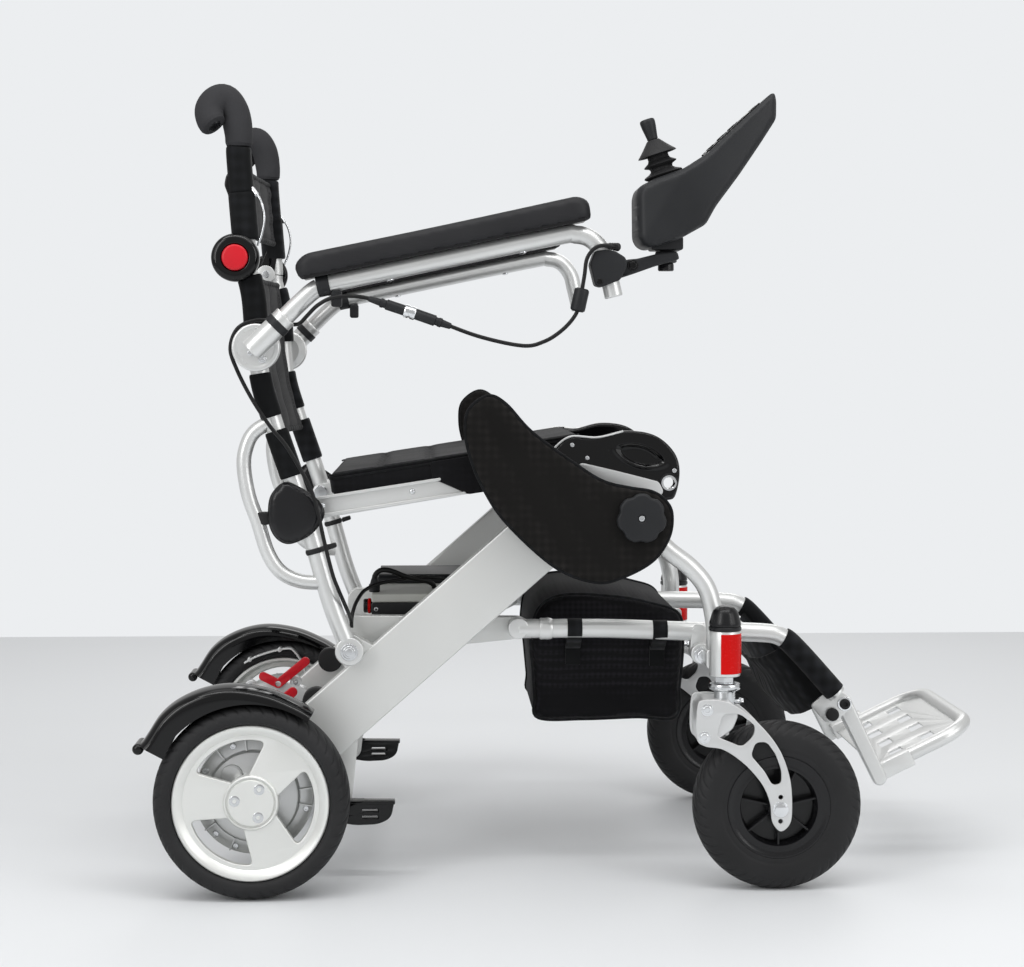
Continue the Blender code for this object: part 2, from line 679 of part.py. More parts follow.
def rear_rim(side, label):
    """Cast rim: a barrel, a face with three windows and a capped hub."""
    centre = point(REAR_AXLE, 0)
    face_in = RIM_FACE_OUT - RIM_FACE_T
    bore = SHAFT_R + BORE_CLEARANCE
    deep = RIM_R - RIM_WALL
    ring = [(0, RIM_FACE_OUT + HUB_CAP_T * 0.2), (HUB_CAP_R * 0.9, RIM_FACE_OUT + HUB_CAP_T * 0.2),
            (HUB_CAP_R, RIM_FACE_OUT - 0.001), (WINDOW_OUT + 0.003, RIM_FACE_OUT - 0.003),
            (deep - 0.004, RIM_OUTER - 0.002), (RIM_R - 0.003, RIM_OUTER),
            (RIM_R, RIM_OUTER - 0.003), (RIM_R, RIM_INNER), (deep, RIM_INNER),
            (deep, face_in - 0.004), (WINDOW_OUT + 0.004, face_in), (HUB_R, face_in - 0.004),
            (HUB_R, GEARCASE_OUTER + RUN), (bore, GEARCASE_OUTER + RUN),
            (bore, RIM_FACE_OUT - HUB_CAP_T), (0, RIM_FACE_OUT - HUB_CAP_T)]
    body = turned(ring, centre, (0, side, 0), 26, "rear_rim_" + label)
    windows = []
    for i in range(SPOKES):
        middle = WINDOW_TURN + 2 * pi * i / SPOKES
        low, high = middle - WINDOW_HALF_ANGLE, middle + WINDOW_HALF_ANGLE
        outline = (arc_points(REAR_AXLE, WINDOW_OUT, low, high, 5)
                   + arc_points(REAR_AXLE, WINDOW_IN, high - 0.12, low + 0.12, 2))
        windows.append(plate(outline, side * (face_in - 0.012), side * (RIM_OUTER + 0.004)))
    return fuse("rear_rim_" + label, [body], silver, windows, pivot=point(REAR_AXLE, side * WHEEL_MID))


# Front frame
def front_leg(side, label):
    """Bent leg tube from the front joint to the caster barrel, with the leg rest's lug."""
    swivel = (SWIVEL_X, CASTER_MID)
    path = smooth_path([
        (FRONT_JOINT[0], side * FRAME_MID, FRONT_JOINT[1]), (0.1018, side * FRAME_MID, 0.3817),
        (0.1299, side * FRAME_MID, 0.3592), (0.1490, side * FRAME_MID, 0.3357),
        (0.1575, side * (FRAME_MID + 0.002), 0.3050), (0.1590, side * (FRAME_MID + 0.008), 0.2750),
        (0.1590, side * (FRAME_MID + 0.010), 0.2520)], 1)
    leg = tube(path, LEG_TUBE_R - 0.0003, 8, "front_leg_" + label)
    eye = cross_rod(FRONT_JOINT, side * (BEAM_OUTER + LAYER_GAP), side * (FRAME_OUTER - 0.0005), 0.018, 16)
    profile = [(0, CAP_HIGH), (BARREL_R * 0.55, CAP_HIGH - 0.002), (BARREL_R * 0.88, CAP_HIGH - 0.009),
               (BARREL_R + 0.0004, CAP_HIGH - 0.018), (BARREL_R + 0.0004, BARREL_HIGH),
               (BARREL_R, BARREL_HIGH - 0.001), (BARREL_R, BARREL_LOW),
               (STEM_R + BORE_CLEARANCE, BARREL_LOW),
               (STEM_R + BORE_CLEARANCE, BARREL_LOW + STEM_LENGTH + 0.001),
               (0, BARREL_LOW + STEM_LENGTH + 0.001)]
    barrel = turned(profile, (swivel[0], side * swivel[1], 0), (0, 0, 1), 12)
    lug = plate(stadium(LEG_PIVOT, (SWIVEL_X - 0.008, LEG_PIVOT[1] - 0.004), EYE_R, 0.010),
                side * (LEG_LUG_INNER), side * (LEG_LUG_INNER + 0.012))
    neck = plate(rounded([(0.150, 0.247), (0.168, 0.243), (0.168, 0.262), (0.150, 0.266)], 0.003),
                 side * (LEG_LUG_INNER + 0.010), side * (CASTER_MID - 0.008))
    pin = cross_rod(LEG_PIVOT, side * (LEG_LUG_INNER + 0.002), side * (RAIL_MID - RAIL_R), SCREW_R)
    hole = cross_rod(FRONT_JOINT, side * (BEAM_OUTER - 0.01), side * (FRAME_OUTER + 0.01),
                     AXLE_TUBE_R + BORE_CLEARANCE, 14)
    stem_bore = cross_z((SWIVEL_X, side * CASTER_MID), BARREL_LOW - 0.004, BARREL_LOW + STEM_LENGTH + 0.001,
                        STEM_R + BORE_CLEARANCE)
    return fuse("front_leg_" + label, [leg, eye, barrel, lug, neck, pin], silver, [hole, stem_bore],
                pivot=point(FRONT_JOINT, side * FRAME_MID))


def cross_z(xy, z_from, z_to, radius, sides=12):
    return rod((xy[0], xy[1], z_from), (xy[0], xy[1], z_to), radius, sides)


def hinge_plate(side, label):
    """Covered plate on the front joint, inside the beam, that carries the front of the seat."""
    outline = smooth_outline([
        (-0.052, 0.462), (-0.040, 0.4765), (-0.0217, 0.4902), (-0.0035, 0.5040), (0.0250, 0.5038),
        (0.0592, 0.5115), (0.0933, 0.5070), (0.1160, 0.4880), (0.1230, 0.4650), (0.1175, 0.4360),
        (0.1050, 0.4300), (0.0980, 0.4100), (0.0727, 0.3930), (0.0500, 0.4080), (0.0300, 0.4330),
        (0.0000, 0.4440), (-0.0400, 0.4490)], 1)
    inner, outer = side * HINGE_PLATE_INNER, side * (HINGE_PLATE_INNER + HINGE_PLATE_T)
    hole = disc_points(FRONT_JOINT, AXLE_TUBE_R + BORE_CLEARANCE)
    button = disc_points((0.1105, 0.4520), 0.0066, 8)
    cover = plate(outline, inner, outer, (hole, button), "hinge_plate_" + label)
    recess = plate([(0.0790 + 0.0145 * cos(a) - 0.003 * sin(a), 0.4810 + 0.0040 * cos(a) + 0.0075 * sin(a))
                    for a in (2 * pi * i / 12 for i in range(12))],
                   outer - side * 0.0025, outer + side * 0.004)
    return fuse("hinge_plate_" + label, [cover], black_gloss, [recess],
                pivot=point(FRONT_JOINT, inner))


def front_axle():
    """Cross tube on the front joint, through both beams."""
    reach = FRAME_OUTER
    return fuse("front_axle", [cross_rod(FRONT_JOINT, -reach, reach, AXLE_TUBE_R, 12)], silver,
                pivot=point(FRONT_JOINT, 0))


# Casters
def caster_fork(side, label):
    """Two pierced curved plates, a crown, the cup and stem of the swivel, and the wheel's axle."""
    outline = smooth_outline([
        (0.1317, 0.2105), (0.1393, 0.2170), (0.1612, 0.2159), (0.1846, 0.2039), (0.2081, 0.1821),
        (0.2245, 0.1592), (0.2343, 0.1330), (0.2376, 0.1090), (0.2365, 0.0806), (0.2255, 0.0697),
        (0.2157, 0.0806), (0.2130, 0.1019), (0.2037, 0.1231), (0.1846, 0.1450), (0.1612, 0.1613),
        (0.1400, 0.1657), (0.1310, 0.1755)], 1)
    upper = rounded([(0.1600, 0.2015), (0.1790, 0.2015), (0.1965, 0.1880), (0.1940, 0.1760),
                     (0.1815, 0.1645), (0.1530, 0.1765)], 0.0045)
    lower = rounded([(0.1965, 0.1695), (0.2090, 0.1700), (0.2190, 0.1560), (0.2255, 0.1380),
                     (0.2255, 0.1230), (0.2155, 0.1215), (0.2070, 0.1370), (0.1915, 0.1550)], 0.0040)
    plates = [plate(outline, side * (CASTER_MID + sign * FORK_IN), side * (CASTER_MID + sign * FORK_OUT),
                    (upper, lower), "caster_fork_" + label) for sign in (1, -1)]
    crown = plate(rounded([(0.1330, 0.1690), (0.1480, 0.1665), (0.1720, 0.1840), (0.1780, 0.1990),
                           (0.1700, 0.2150), (0.1400, 0.2160), (0.1325, 0.2080)], 0.004),
                  side * (CASTER_MID - FORK_IN - 0.0010), side * (CASTER_MID + FORK_IN + 0.0010))
    cup = turned([(0, BARREL_LOW + STEM_LENGTH), (STEM_R, BARREL_LOW + STEM_LENGTH),
                  (STEM_R, BARREL_LOW - GAP), (0.0112, BARREL_LOW - GAP), (0.0112, BARREL_LOW - 0.009),
                  (CUP_R - 0.002, BARREL_LOW - 0.009), (CUP_R, BARREL_LOW - 0.012), (CUP_R, 0.2120),
                  (CUP_R - 0.004, 0.2080), (0, 0.2080)],
                 (SWIVEL_X, side * CASTER_MID, 0), (0, 0, 1), 12)
    reach = FORK_OUT + 0.003
    axle = cross_rod(CASTER_AXLE, side * (CASTER_MID - reach), side * (CASTER_MID + reach), CASTER_AXLE_R)
    bolts = [cross_rod(xz, side * (CASTER_MID - reach + 0.001), side * (CASTER_MID + reach - 0.001),
                       0.0050, 6) for xz in ((0.1426, 0.2061), (0.1395, 0.1755))]
    return fuse("caster_fork_" + label, [plates[0], crown, plates[1], cup, axle, *bolts], silver,
                pivot=(SWIVEL_X, side * CASTER_MID, BARREL_LOW))


def caster_wheel(side, label):
    """Soft tyre on a ribbed hub."""
    half = CASTER_WIDTH / 2
    bore = CASTER_AXLE_R + BORE_CLEARANCE
    well = half - 0.010
    near = [(CASTER_R, half * 0.28), (CASTER_R - 0.0065, half * 0.80), (CASTER_R - 0.020, half),
            (CASTER_HUB_R, half - 0.003),
            (CASTER_WELL_R, half - 0.004), (CASTER_WELL_R - 0.001, well), (CASTER_BOSS_R, well),
            (CASTER_BOSS_R, half + FORK_GAP - RUN), (bore, half + FORK_GAP - RUN)]
    ring = [(r, -a) for r, a in near[::-1]] + near
    body = turned(ring[::-1], point(CASTER_AXLE, side * CASTER_MID), (0, 1, 0), 20,
                  "caster_wheel_" + label, closed=True)
    ribs = []
    for i in range(CASTER_RIBS):
        angle = 2 * pi * (i + 0.25) / CASTER_RIBS
        a = (CASTER_AXLE[0] + (CASTER_BOSS_R - 0.002) * cos(angle),
             CASTER_AXLE[1] + (CASTER_BOSS_R - 0.002) * sin(angle))
        b = (CASTER_AXLE[0] + (CASTER_WELL_R + 0.002) * cos(angle),
             CASTER_AXLE[1] + (CASTER_WELL_R + 0.002) * sin(angle))
        wide = 0.0011
        outline = [(a[0] - wide * sin(angle), a[1] + wide * cos(angle)),
                   (a[0] + wide * sin(angle), a[1] - wide * cos(angle)),
                   (b[0] + wide * sin(angle), b[1] - wide * cos(angle)),
                   (b[0] - wide * sin(angle), b[1] + wide * cos(angle))]
        ribs.append(plate(outline, CASTER_MID * side - (half - 0.006), CASTER_MID * side + (half - 0.006)))
    return fuse("caster_wheel_" + label, [body, *ribs], rubber, pivot=point(CASTER_AXLE, side * CASTER_MID))


# Leg rest
def leg_rest_frame():
    """Two bent rails with eyes at both pivots, a cross tube and the brackets of the foot plate."""
    solids, cuts = [], []
    foot = Vector(FOOT_PIVOT)
    for side in SIDES.values():
        path = smooth_path([
            (TRAY_JOINT[0], side * RAIL_MID, TRAY_JOINT[1] - 0.001), (0.0366, side * RAIL_MID, 0.2836),
            (0.1279, side * RAIL_MID, 0.2801), (0.2146, side * RAIL_MID, 0.2779),
            (0.2420, side * RAIL_MID, 0.2730), (0.2620, side * RAIL_MID, 0.2570),
            (foot.x - 0.010, side * RAIL_MID, foot.y + 0.012)], 1)
        solids.append(tube(path, RAIL_R, 8, "leg_rest_frame"))
        solids.append(cross_rod(TRAY_JOINT, side * (BAR_INNER + BAR_T + RUN),
                                side * (RAIL_MID + RAIL_R - 0.001), EYE_R, 14))
        solids.append(plate(stadium(LEG_PIVOT, (LEG_PIVOT[0], 0.2795), EYE_R - 0.0005, EYE_R - 0.002),
                            side * (RAIL_MID - 0.006), side * (RAIL_MID + RAIL_R)))
        cuts.append(cross_rod(LEG_PIVOT, side * (RAIL_MID - 0.03), side * (RAIL_MID + 0.03),
                              SCREW_R + BORE_CLEARANCE))
        bracket = rounded([(foot.x - 0.040, foot.y - 0.002), (foot.x - 0.012, foot.y + 0.022),
                           (foot.x + 0.009, foot.y + 0.006), (foot.x + 0.004, foot.y - 0.009),
                           (foot.x - 0.012, foot.y - 0.023), (foot.x - 0.022, foot.y - 0.022)], 0.005)
        solids.append(plate(bracket, side * BRACKET_INNER, side * (BRACKET_INNER + 0.005)))
        solids.append(cross_rod(FOOT_PIVOT, side * (BRACKET_INNER + 0.001), side * (LEG_BAR_INNER - 0.003),
                                SCREW_R))
    solids.append(cross_rod(TIE, -(RAIL_MID - 0.002), RAIL_MID - 0.002, TIE_R))
    return fuse("leg_rest_frame", solids, silver, cuts, pivot=point(LEG_PIVOT, 0))


def footplate():
    """Two leg bars on the foot pivot, a slotted plate between them and the tubular rim round it."""
    bottom = Vector(LEG_BOTTOM)
    along = Vector((cos(FOOT_TILT), sin(FOOT_TILT)))
    solids = []
    slots = []
    for side in SIDES.values():
        bar = plate(stadium(FOOT_PIVOT, LEG_BOTTOM, LEG_BAR_W / 2, LEG_BAR_W / 2 - 0.002, 4),
                    side * LEG_BAR_INNER, side * (LEG_BAR_INNER + LEG_BAR_T))
        solids.append(bar)
        heel = bottom + along * 0.002
        toe = bottom + along * 0.046
        up = Vector((-along.y, along.x))
        solids.append(plate([tuple(heel - up * 0.006), tuple(toe - up * 0.006), tuple(toe + up * 0.013),
                             tuple(heel + up * 0.013)],
                            side * (LEG_BAR_INNER - 0.016), side * (LEG_BAR_INNER + 0.002)))
        slots.append(cross_rod(FOOT_PIVOT, side * (LEG_BAR_INNER - 0.01), side * (LEG_BAR_INNER + 0.02),
                               SCREW_R + BORE_CLEARANCE))
    lift = Vector((-along.y, along.x)) * 0.0035
    start = bottom + along * 0.030 + lift
    reach = FOOT_REACH
    corner = 0.040
    y = FOOT_HALF_WIDTH - 0.014
    rim = []
    rim.append((start, -y))
    rim.append((bottom + along * (reach - corner) + lift, -y))
    for i in range(1, 4):
        a = (pi / 2) * i / 4
        rim.append((bottom + along * (reach - corner + corner * sin(a)) + lift,
                    -(y - corner + corner * cos(a))))
    rim.append((bottom + along * reach + lift, -(y - corner)))
    rim += [(p, -q) for p, q in rim[::-1]]
    solids.append(tube([(p.x, q, p.y) for p, q in rim], FOOT_RIM_R, 10))
    near, far = 0.006, reach - 0.002
    sheet = [tuple(bottom + along * near + lift * 0.3), tuple(bottom + along * far + lift * 0.3),
             tuple(bottom + along * far + lift * 0.3 + lift * FOOT_PLATE_T / 0.0035),
             tuple(bottom + along * near + lift * 0.3 + lift * FOOT_PLATE_T / 0.0035)]
    solids.append(plate(sheet, -(y - 0.001), y - 0.001))
    turn = Matrix.Rotation(-FOOT_TILT, 4, "Y")
    for row, (from_x, to_x) in enumerate(((0.030, 0.046), (0.072, 0.088))):
        for i in range(4):
            centre_y = (i - 1.5) * 0.060 + 0.004 * row
            slot = block((from_x, centre_y - 0.014, -0.012), (to_x, centre_y + 0.014, 0.016))
            slot.data.transform(Matrix.Translation((bottom.x, 0, bottom.y)) @ turn)
            slots.append(slot)
    return fuse("footplate", solids, silver, slots, pivot=point(FOOT_PIVOT, 0))


def calf_strap():
    """Cloth band between the rails, sagging backwards in the middle, with two folds."""
    wide, narrow = RAIL_MID - RAIL_R - 0.0006, BRACKET_INNER - 0.0008
    rows, columns = 6, 8
    top, bottom = Vector((0.2560, 0.2720)), Vector((0.3040, 0.2060))
    out = Vector((0.81, 0.59)).normalized()
    grid = []
    for i in range(rows + 1):
        t = i / rows
        base = top.lerp(bottom, t)
        half = wide + (narrow - wide) * min(t / 0.34, 1)
        for j in range(columns + 1):
            s = 2 * j / columns - 1
            sag = 0.030 * (1 - s * s) * (0.35 + 0.65 * t) + 0.0022 * cos(3 * pi * t) * (1 - s * s)
            place = base - out * (sag + 0.016)
            grid.append((place.x, s * half, place.y))
    faces = [(i * (columns + 1) + j, i * (columns + 1) + j + 1, (i + 1) * (columns + 1) + j + 1,
              (i + 1) * (columns + 1) + j) for i in range(rows) for j in range(columns)]
    return cloth_sheet("calf_strap", grid, faces, STRAP_T, black_cloth, point(LEG_PIVOT, 0))


def cloth_sheet(name, grid, faces, thickness, material, pivot):
    mesh = bpy.data.meshes.new(name)
    mesh.from_pydata(grid, [], faces)
    sheet = bpy.data.objects.new(name, mesh)
    tools.objects.link(sheet)
    solid = sheet.modifiers.new("thickness", "SOLIDIFY")
    solid.thickness = thickness
    solid.offset = 0
    solid.use_even_offset = True
    return fuse(name, [evaluated(sheet, name)], material, pivot=pivot)


def storage_bag():
    """Soft bag slung between the leg-rest rails, domed above them, with a webbing tab to each."""
    outline = smooth_outline([
        (-0.0460, 0.2660), (-0.0430, 0.2318), (-0.0400, 0.1946), (-0.0360, 0.1680), (0.0193, 0.1668),
        (0.0819, 0.1691), (0.1300, 0.1675), (0.1340, 0.2100), (0.1330, 0.2620), (0.1280, 0.3000),
        (0.0951, 0.3094), (0.0510, 0.3179), (-0.0077, 0.3200), (-0.0400, 0.3000)], 1)
    bag = plate(outline, -BAG_HALF_WIDTH, BAG_HALF_WIDTH, name="storage_bag")
    for vertex in bag.data.vertices:
        drop = min(max((0.262 - vertex.co.z) / 0.060, 0), 1)
        vertex.co.y *= 1 - 0.26 * drop
    soften(bag, 0.010, 2)
    reach = RAIL_MID - RAIL_R - GAP
    tab = block((TAB_X - 0.008, -reach, TAB_Z - 0.006), (TAB_X + 0.008, reach, TAB_Z + 0.006))
    return fuse("storage_bag", [bag, tab], black_cloth, pivot=point(LEG_PIVOT, 0))


# Battery tray
def battery_tray():
    """Two side bars on the back pivot, joined by a floor and a cross bar at the front."""
    solids, cuts = [], []
    for side in SIDES.values():
        bar = plate(rounded([(-0.262, 0.2640), (-0.120, 0.2645), (-0.066, 0.2700), (-0.0500, 0.2780),
                             (-0.0500, 0.2910), (-0.0600, 0.2960), (-0.262, 0.2985), (-0.2690, 0.2900),
                             (-0.2700, 0.2730)], 0.004),
                    side * BAR_INNER, side * (BAR_INNER + BAR_T))
        solids.append(bar)
        cuts.append(cross_rod(BACK_PIVOT, side * (BAR_INNER - 0.002), side * (BAR_INNER + BAR_T + 0.01),
                              PIN_R + BORE_CLEARANCE))
    reach = BAR_INNER + 0.001
    solids.append(block((-0.2440, -reach, FLOOR_Z), (-0.0960, reach, FLOOR_Z + FLOOR_T)))
    solids.append(block((-0.1030, -reach, FLOOR_Z + 0.001), (-0.0950, reach, FLOOR_Z + 0.0160)))
    return fuse("battery_tray", solids, silver, cuts, pivot=point(BACK_PIVOT, 0))


def control_box():
    """Drive controller, with a round plug socket at the back."""
    low_z = FLOOR_Z + FLOOR_T + GAP
    case = block((-0.2320, -0.1150, low_z), (-0.1180, 0.0050, low_z + 0.0460))
    soften(case, 0.003)
    plug = rod((-0.2300, -0.045, low_z + 0.024), (-0.2430, -0.045, low_z + 0.024), 0.0085, 12)
    return fuse("control_box", [case, plug], black_matt, pivot=point(BACK_PIVOT, 0))


def battery_pack():
    """Removable battery beside the drive controller."""
    low_z = FLOOR_Z + FLOOR_T + GAP
    case = block((-0.2300, 0.0100, low_z), (-0.1080, 0.1330, low_z + 0.0560))
    soften(case, 0.005, 2)
    return fuse("battery_pack", [case], black_matt, pivot=point(BACK_PIVOT, 0))


# Back frame
def back_upright(side, label):
    """Lower back post on the back pivot, with its grab loop, armrest boss and the locking hub."""
    y = side * FRAME_MID
    top = (HALF_BACK_HINGE[0] + HINGE_OFFSET, HALF_BACK_HINGE[1] - GAP)
    post = tube(side_path([top] + LOWER_POST, y, 1), FRAME_TUBE_R, 8, "back_upright_" + label)
    loop = tube(side_path([(-0.3405, 0.5240), (-0.3594, 0.5118), (-0.3683, 0.4950), (-0.3711, 0.4737),
                           (-0.3661, 0.4411), (-0.3560, 0.4120), (-0.3448, 0.3761), (-0.3302, 0.3547),
                           (-0.3089, 0.3446), (-0.2830, 0.3424)], y, 1), 0.0082, 6)
    layer_in, layer_out = side * (BEAM_OUTER + LAYER_GAP), side * (FRAME_OUTER - 0.0004)
    knuckle = cross_rod(BACK_PIVOT, layer_in, layer_out, KNUCKLE_R, 16)
    seat_pin = cross_rod(SEAT_PIVOT, side * (SEAT_RAIL_INNER - 0.003), side * (FRAME_MID - 0.002), PIN_R)
    seat_head = cross_rod(SEAT_PIVOT, side * (SEAT_RAIL_INNER - 0.006), side * (SEAT_RAIL_INNER - GAP),
                          0.009, 12)
    cover = plate(rounded([(-0.3440, 0.4560), (-0.2890, 0.4560), (-0.2830, 0.4480), (-0.2860, 0.4000),
                           (-0.2960, 0.3870), (-0.3200, 0.3880), (-0.3500, 0.4150)], 0.012),
                  side * (FRAME_OUTER - 0.003), side * (FRAME_OUTER + 0.006))
    soften(cover, 0.002)
    boss = cross_rod(ARM_HINGE, side * (FRAME_MID + 0.003), side * (ARM_DISC_INNER - GAP),
                     ARM_DISC_R - 0.001, 16)
    stud = cross_rod(ARM_HINGE, side * (ARM_DISC_INNER - 0.003), side * (ARM_DISC_INNER + 0.008), PIN_R)
    hub_in, hub_out = side * HUB_INNER, side * (HUB_INNER + HUB_DISC_T)
    hub = cross_rod(HALF_BACK_HINGE, hub_in, hub_out, HUB_DISC_R, 20)
    soften(hub, 0.003)
    arm = plate(rounded([(-0.3760, 0.7000), (-0.3580, 0.7000), (-0.3540, 0.6700), (-0.3660, 0.6700)],
                        0.003), side * (FRAME_MID + 0.004), side * (HUB_INNER + 0.006))
    pin = cross_rod(HALF_BACK_HINGE, side * (HUB_INNER + 0.001), side * (HINGE_EYE_INNER - 0.001),
                    HINGE_PIN_R)
    hole = cross_rod(BACK_PIVOT, side * (BEAM_OUTER - 0.01), side * (FRAME_OUTER + 0.01),
                     PIN_R + BORE_CLEARANCE)
    well = cross_rod(HALF_BACK_HINGE, side * (HUB_INNER + HUB_DISC_T - BUTTON_TRAVEL - 0.005),
                     side * (HUB_INNER + HUB_DISC_T + 0.01), BUTTON_R + BORE_CLEARANCE, 16)
    return fuse("back_upright_" + label,
                [post, loop, knuckle, seat_pin, seat_head, cover, boss, stud, arm, hub, pin], silver,
                [hole, well], pivot=point(BACK_PIVOT, y))


def release_button(side, label):
    """Red push button in the hub of the half-folding back."""
    inner = side * (HUB_INNER + HUB_DISC_T - 0.004)
    outer = side * (HUB_INNER + HUB_DISC_T + 0.0025)
    cap = cross_rod(HALF_BACK_HINGE, inner, outer, BUTTON_R, 16)
    soften(cap, 0.0012)
    return fuse("release_button_" + label, [cap], red, pivot=point(HALF_BACK_HINGE, inner))


def back_post(side, label):
    """Upper back post on the hinge eye, up to the push grip."""
    y = side * FRAME_MID
    low = HALF_BACK_HINGE[1] + GAP
    x = HALF_BACK_HINGE[0] + HINGE_OFFSET
    path = [(x, low), (x, low + 0.009), (-0.3695, 0.7553), (-0.3740, 0.8160), (-0.3740, 0.8277)]
    post = tube(side_path(path, y, 1), FRAME_TUBE_R, 8, "back_post_" + label)
    eye = cross_rod(HALF_BACK_HINGE, side * HINGE_EYE_INNER, side * (HINGE_EYE_INNER + HINGE_EYE_T), 0.012)
    strap = plate(stadium(HALF_BACK_HINGE, (-0.3690, 0.7330), 0.0105, 0.0075),
                  side * (HINGE_EYE_INNER + 0.0003), side * (HINGE_EYE_INNER + HINGE_EYE_T - 0.0003))
    root = plate(stadium((-0.3675, 0.7250), (-0.3680, 0.7330), 0.0060, 0.0060),
                 side * (HINGE_EYE_INNER + 0.001), side * (FRAME_MID - 0.002))
    hole = cross_rod(HALF_BACK_HINGE, side * (HINGE_EYE_INNER - 0.01), side * (FRAME_OUTER + 0.01),
                     HINGE_PIN_R + BORE_CLEARANCE)
    return fuse("back_post_" + label, [post, eye, strap, root], silver, [hole],
                pivot=point(HALF_BACK_HINGE, y))


def push_grip(side, label):
    """Foam grip on the top of the post, hooked back and outwards."""
    y = side * FRAME_MID
    line = [(-0.3740, 0, 0.8280), (-0.3740, 0, 0.8440), (-0.3790, 0, 0.8680), (-0.3880, 0.002, 0.8805),
            (-0.3990, 0.006, 0.8800), (-0.4055, 0.012, 0.8700), (-0.4050, 0.019, 0.8600)]
    foam = tube([(x, y + side * out, z) for x, out, z in line], GRIP_R, 10, "push_grip_" + label)
    return fuse("push_grip_" + label, [foam], rubber, pivot=point(HALF_BACK_HINGE, y))


def sling(name, line, half, thickness, hollow, columns, material, pivot):
    """Back cloth between the posts: each row follows the line of the posts and hollows backwards."""
    rows = len(line) - 1
    grid = []
    for i, (x, z) in enumerate(line):
        for j in range(columns + 1):
            s = 2 * j / columns - 1
            depth = hollow * (1 - s * s) + 0.0015 * cos(5 * pi * i / rows) * (1 - s * s)
            grid.append((x - depth, s * half, z))
    faces = [(i * (columns + 1) + j, (i + 1) * (columns + 1) + j, (i + 1) * (columns + 1) + j + 1,
              i * (columns + 1) + j + 1) for i in range(rows) for j in range(columns)]
    return cloth_sheet(name, grid, faces, thickness, material, pivot)


def back_sling_lower():
    line = [(-0.3335, 0.506), (-0.3440, 0.545), (-0.3525, 0.585), (-0.3560, 0.625), (-0.3590, 0.660),
            (-0.3620, 0.690)]
    return sling("back_sling_lower", line, FRAME_MID - FRAME_TUBE_R - GAP - 0.0006, SLING_T, 0.012, 8,
                 black_cloth, point(BACK_PIVOT, 0))


def back_sling_upper():
    line = [(-0.3675, 0.745), (-0.3700, 0.770), (-0.3715, 0.795), (-0.3735, 0.820)]
    return sling("back_sling_upper", line, FRAME_MID - FRAME_TUBE_R - GAP - 0.0006, SLING_T, 0.010, 8,
                 black_cloth, point(HALF_BACK_HINGE, 0))


# Seat
def seat_rail(side, label):
    """Seat side rail with its eye on the back post and a tapered front end."""
    y_in, y_out = side * SEAT_RAIL_INNER, side * (SEAT_RAIL_INNER + SEAT_RAIL_T)
    half = SEAT_RAIL_H / 2
    rail = plate(stadium(SEAT_PIVOT, SEAT_FRONT, half + 0.002, half - 0.0010, 5), y_in, y_out,
                 name="seat_rail_" + label)
    soften(rail, 0.0025)
    boss = cross_rod(SEAT_FRONT, side * (HINGE_PLATE_INNER + HINGE_PLATE_T + RUN),
                     side * (SEAT_RAIL_INNER + 0.004), half - 0.002)
    hole = cross_rod(SEAT_PIVOT, side * (SEAT_RAIL_INNER - 0.01), side * (SEAT_RAIL_INNER + 0.03),
                     PIN_R + BORE_CLEARANCE)
    return fuse("seat_rail_" + label, [rail, boss], silver, [hole], pivot=point(SEAT_PIVOT, y_in))


def seat_pad():
    """Padded seat sling on the rails, crowned, with cross channels and a narrower nose."""
    tilt = atan2(SEAT_FRONT[1] - SEAT_PIVOT[1], SEAT_FRONT[0] - SEAT_PIVOT[0])
    rise = SEAT_RAIL_H / 2 + 0.0025
    stations = []
    rear, shoulder, nose = 0.034, 0.222, 0.325
    rows, columns = 14, 8
    for i in range(rows + 1):
        along = rear + (nose - rear) * i / rows
        if along <= shoulder:
            half = SEAT_PAD_HALF
        else:
            t = min((along - shoulder) / 0.018, 1)
            half = SEAT_PAD_HALF + (SEAT_NOSE_HALF - SEAT_PAD_HALF) * t
        ends = min((along - rear) / 0.018, (nose - along) / 0.022, 1.0)
        channel = 0.0025 * max(cos(2 * pi * (along - rear) / 0.058), 0) ** 6
        stations.append((along, half, ends, channel))
    bm = bmesh.new()
    layers = []
    for top in (1, 0):
        sheet = []
        for along, half, ends, channel in stations:
            row = []
            for j in range(columns + 1):
                s = 2 * j / columns - 1
                edge = (1 - abs(s) ** 5)
                crown = SEAT_PAD_T * (0.55 + 0.45 * edge * max(ends, 0) ** 0.5) - channel
                height = rise + (crown if top else 0)
                x = SEAT_PIVOT[0] + along * cos(tilt) - height * sin(tilt)
                z = SEAT_PIVOT[1] + along * sin(tilt) + height * cos(tilt)
                pull = 0.004 * (1 - edge) if top else 0.0
                row.append(bm.verts.new((x, s * (half - pull), z)))
            sheet.append(row)
        layers.append(sheet)
    upper, lower = layers
    for i in range(rows):
        for j in range(columns):
            bm.faces.new((upper[i][j], upper[i + 1][j], upper[i + 1][j + 1], upper[i][j + 1]))
            bm.faces.new((lower[i][j], lower[i][j + 1], lower[i + 1][j + 1], lower[i + 1][j]))
        for j in (0, columns):
            bm.faces.new((upper[i][j], lower[i][j], lower[i + 1][j], upper[i + 1][j]))
    for j in range(columns):
        for i in (0, rows):
            bm.faces.new((upper[i][j], upper[i][j + 1], lower[i][j + 1], lower[i][j]))
    bmesh.ops.recalc_face_normals(bm, faces=bm.faces)
    return fuse("seat_pad", [from_bmesh("seat_pad", bm)], black_cloth, pivot=point(SEAT_PIVOT, 0))


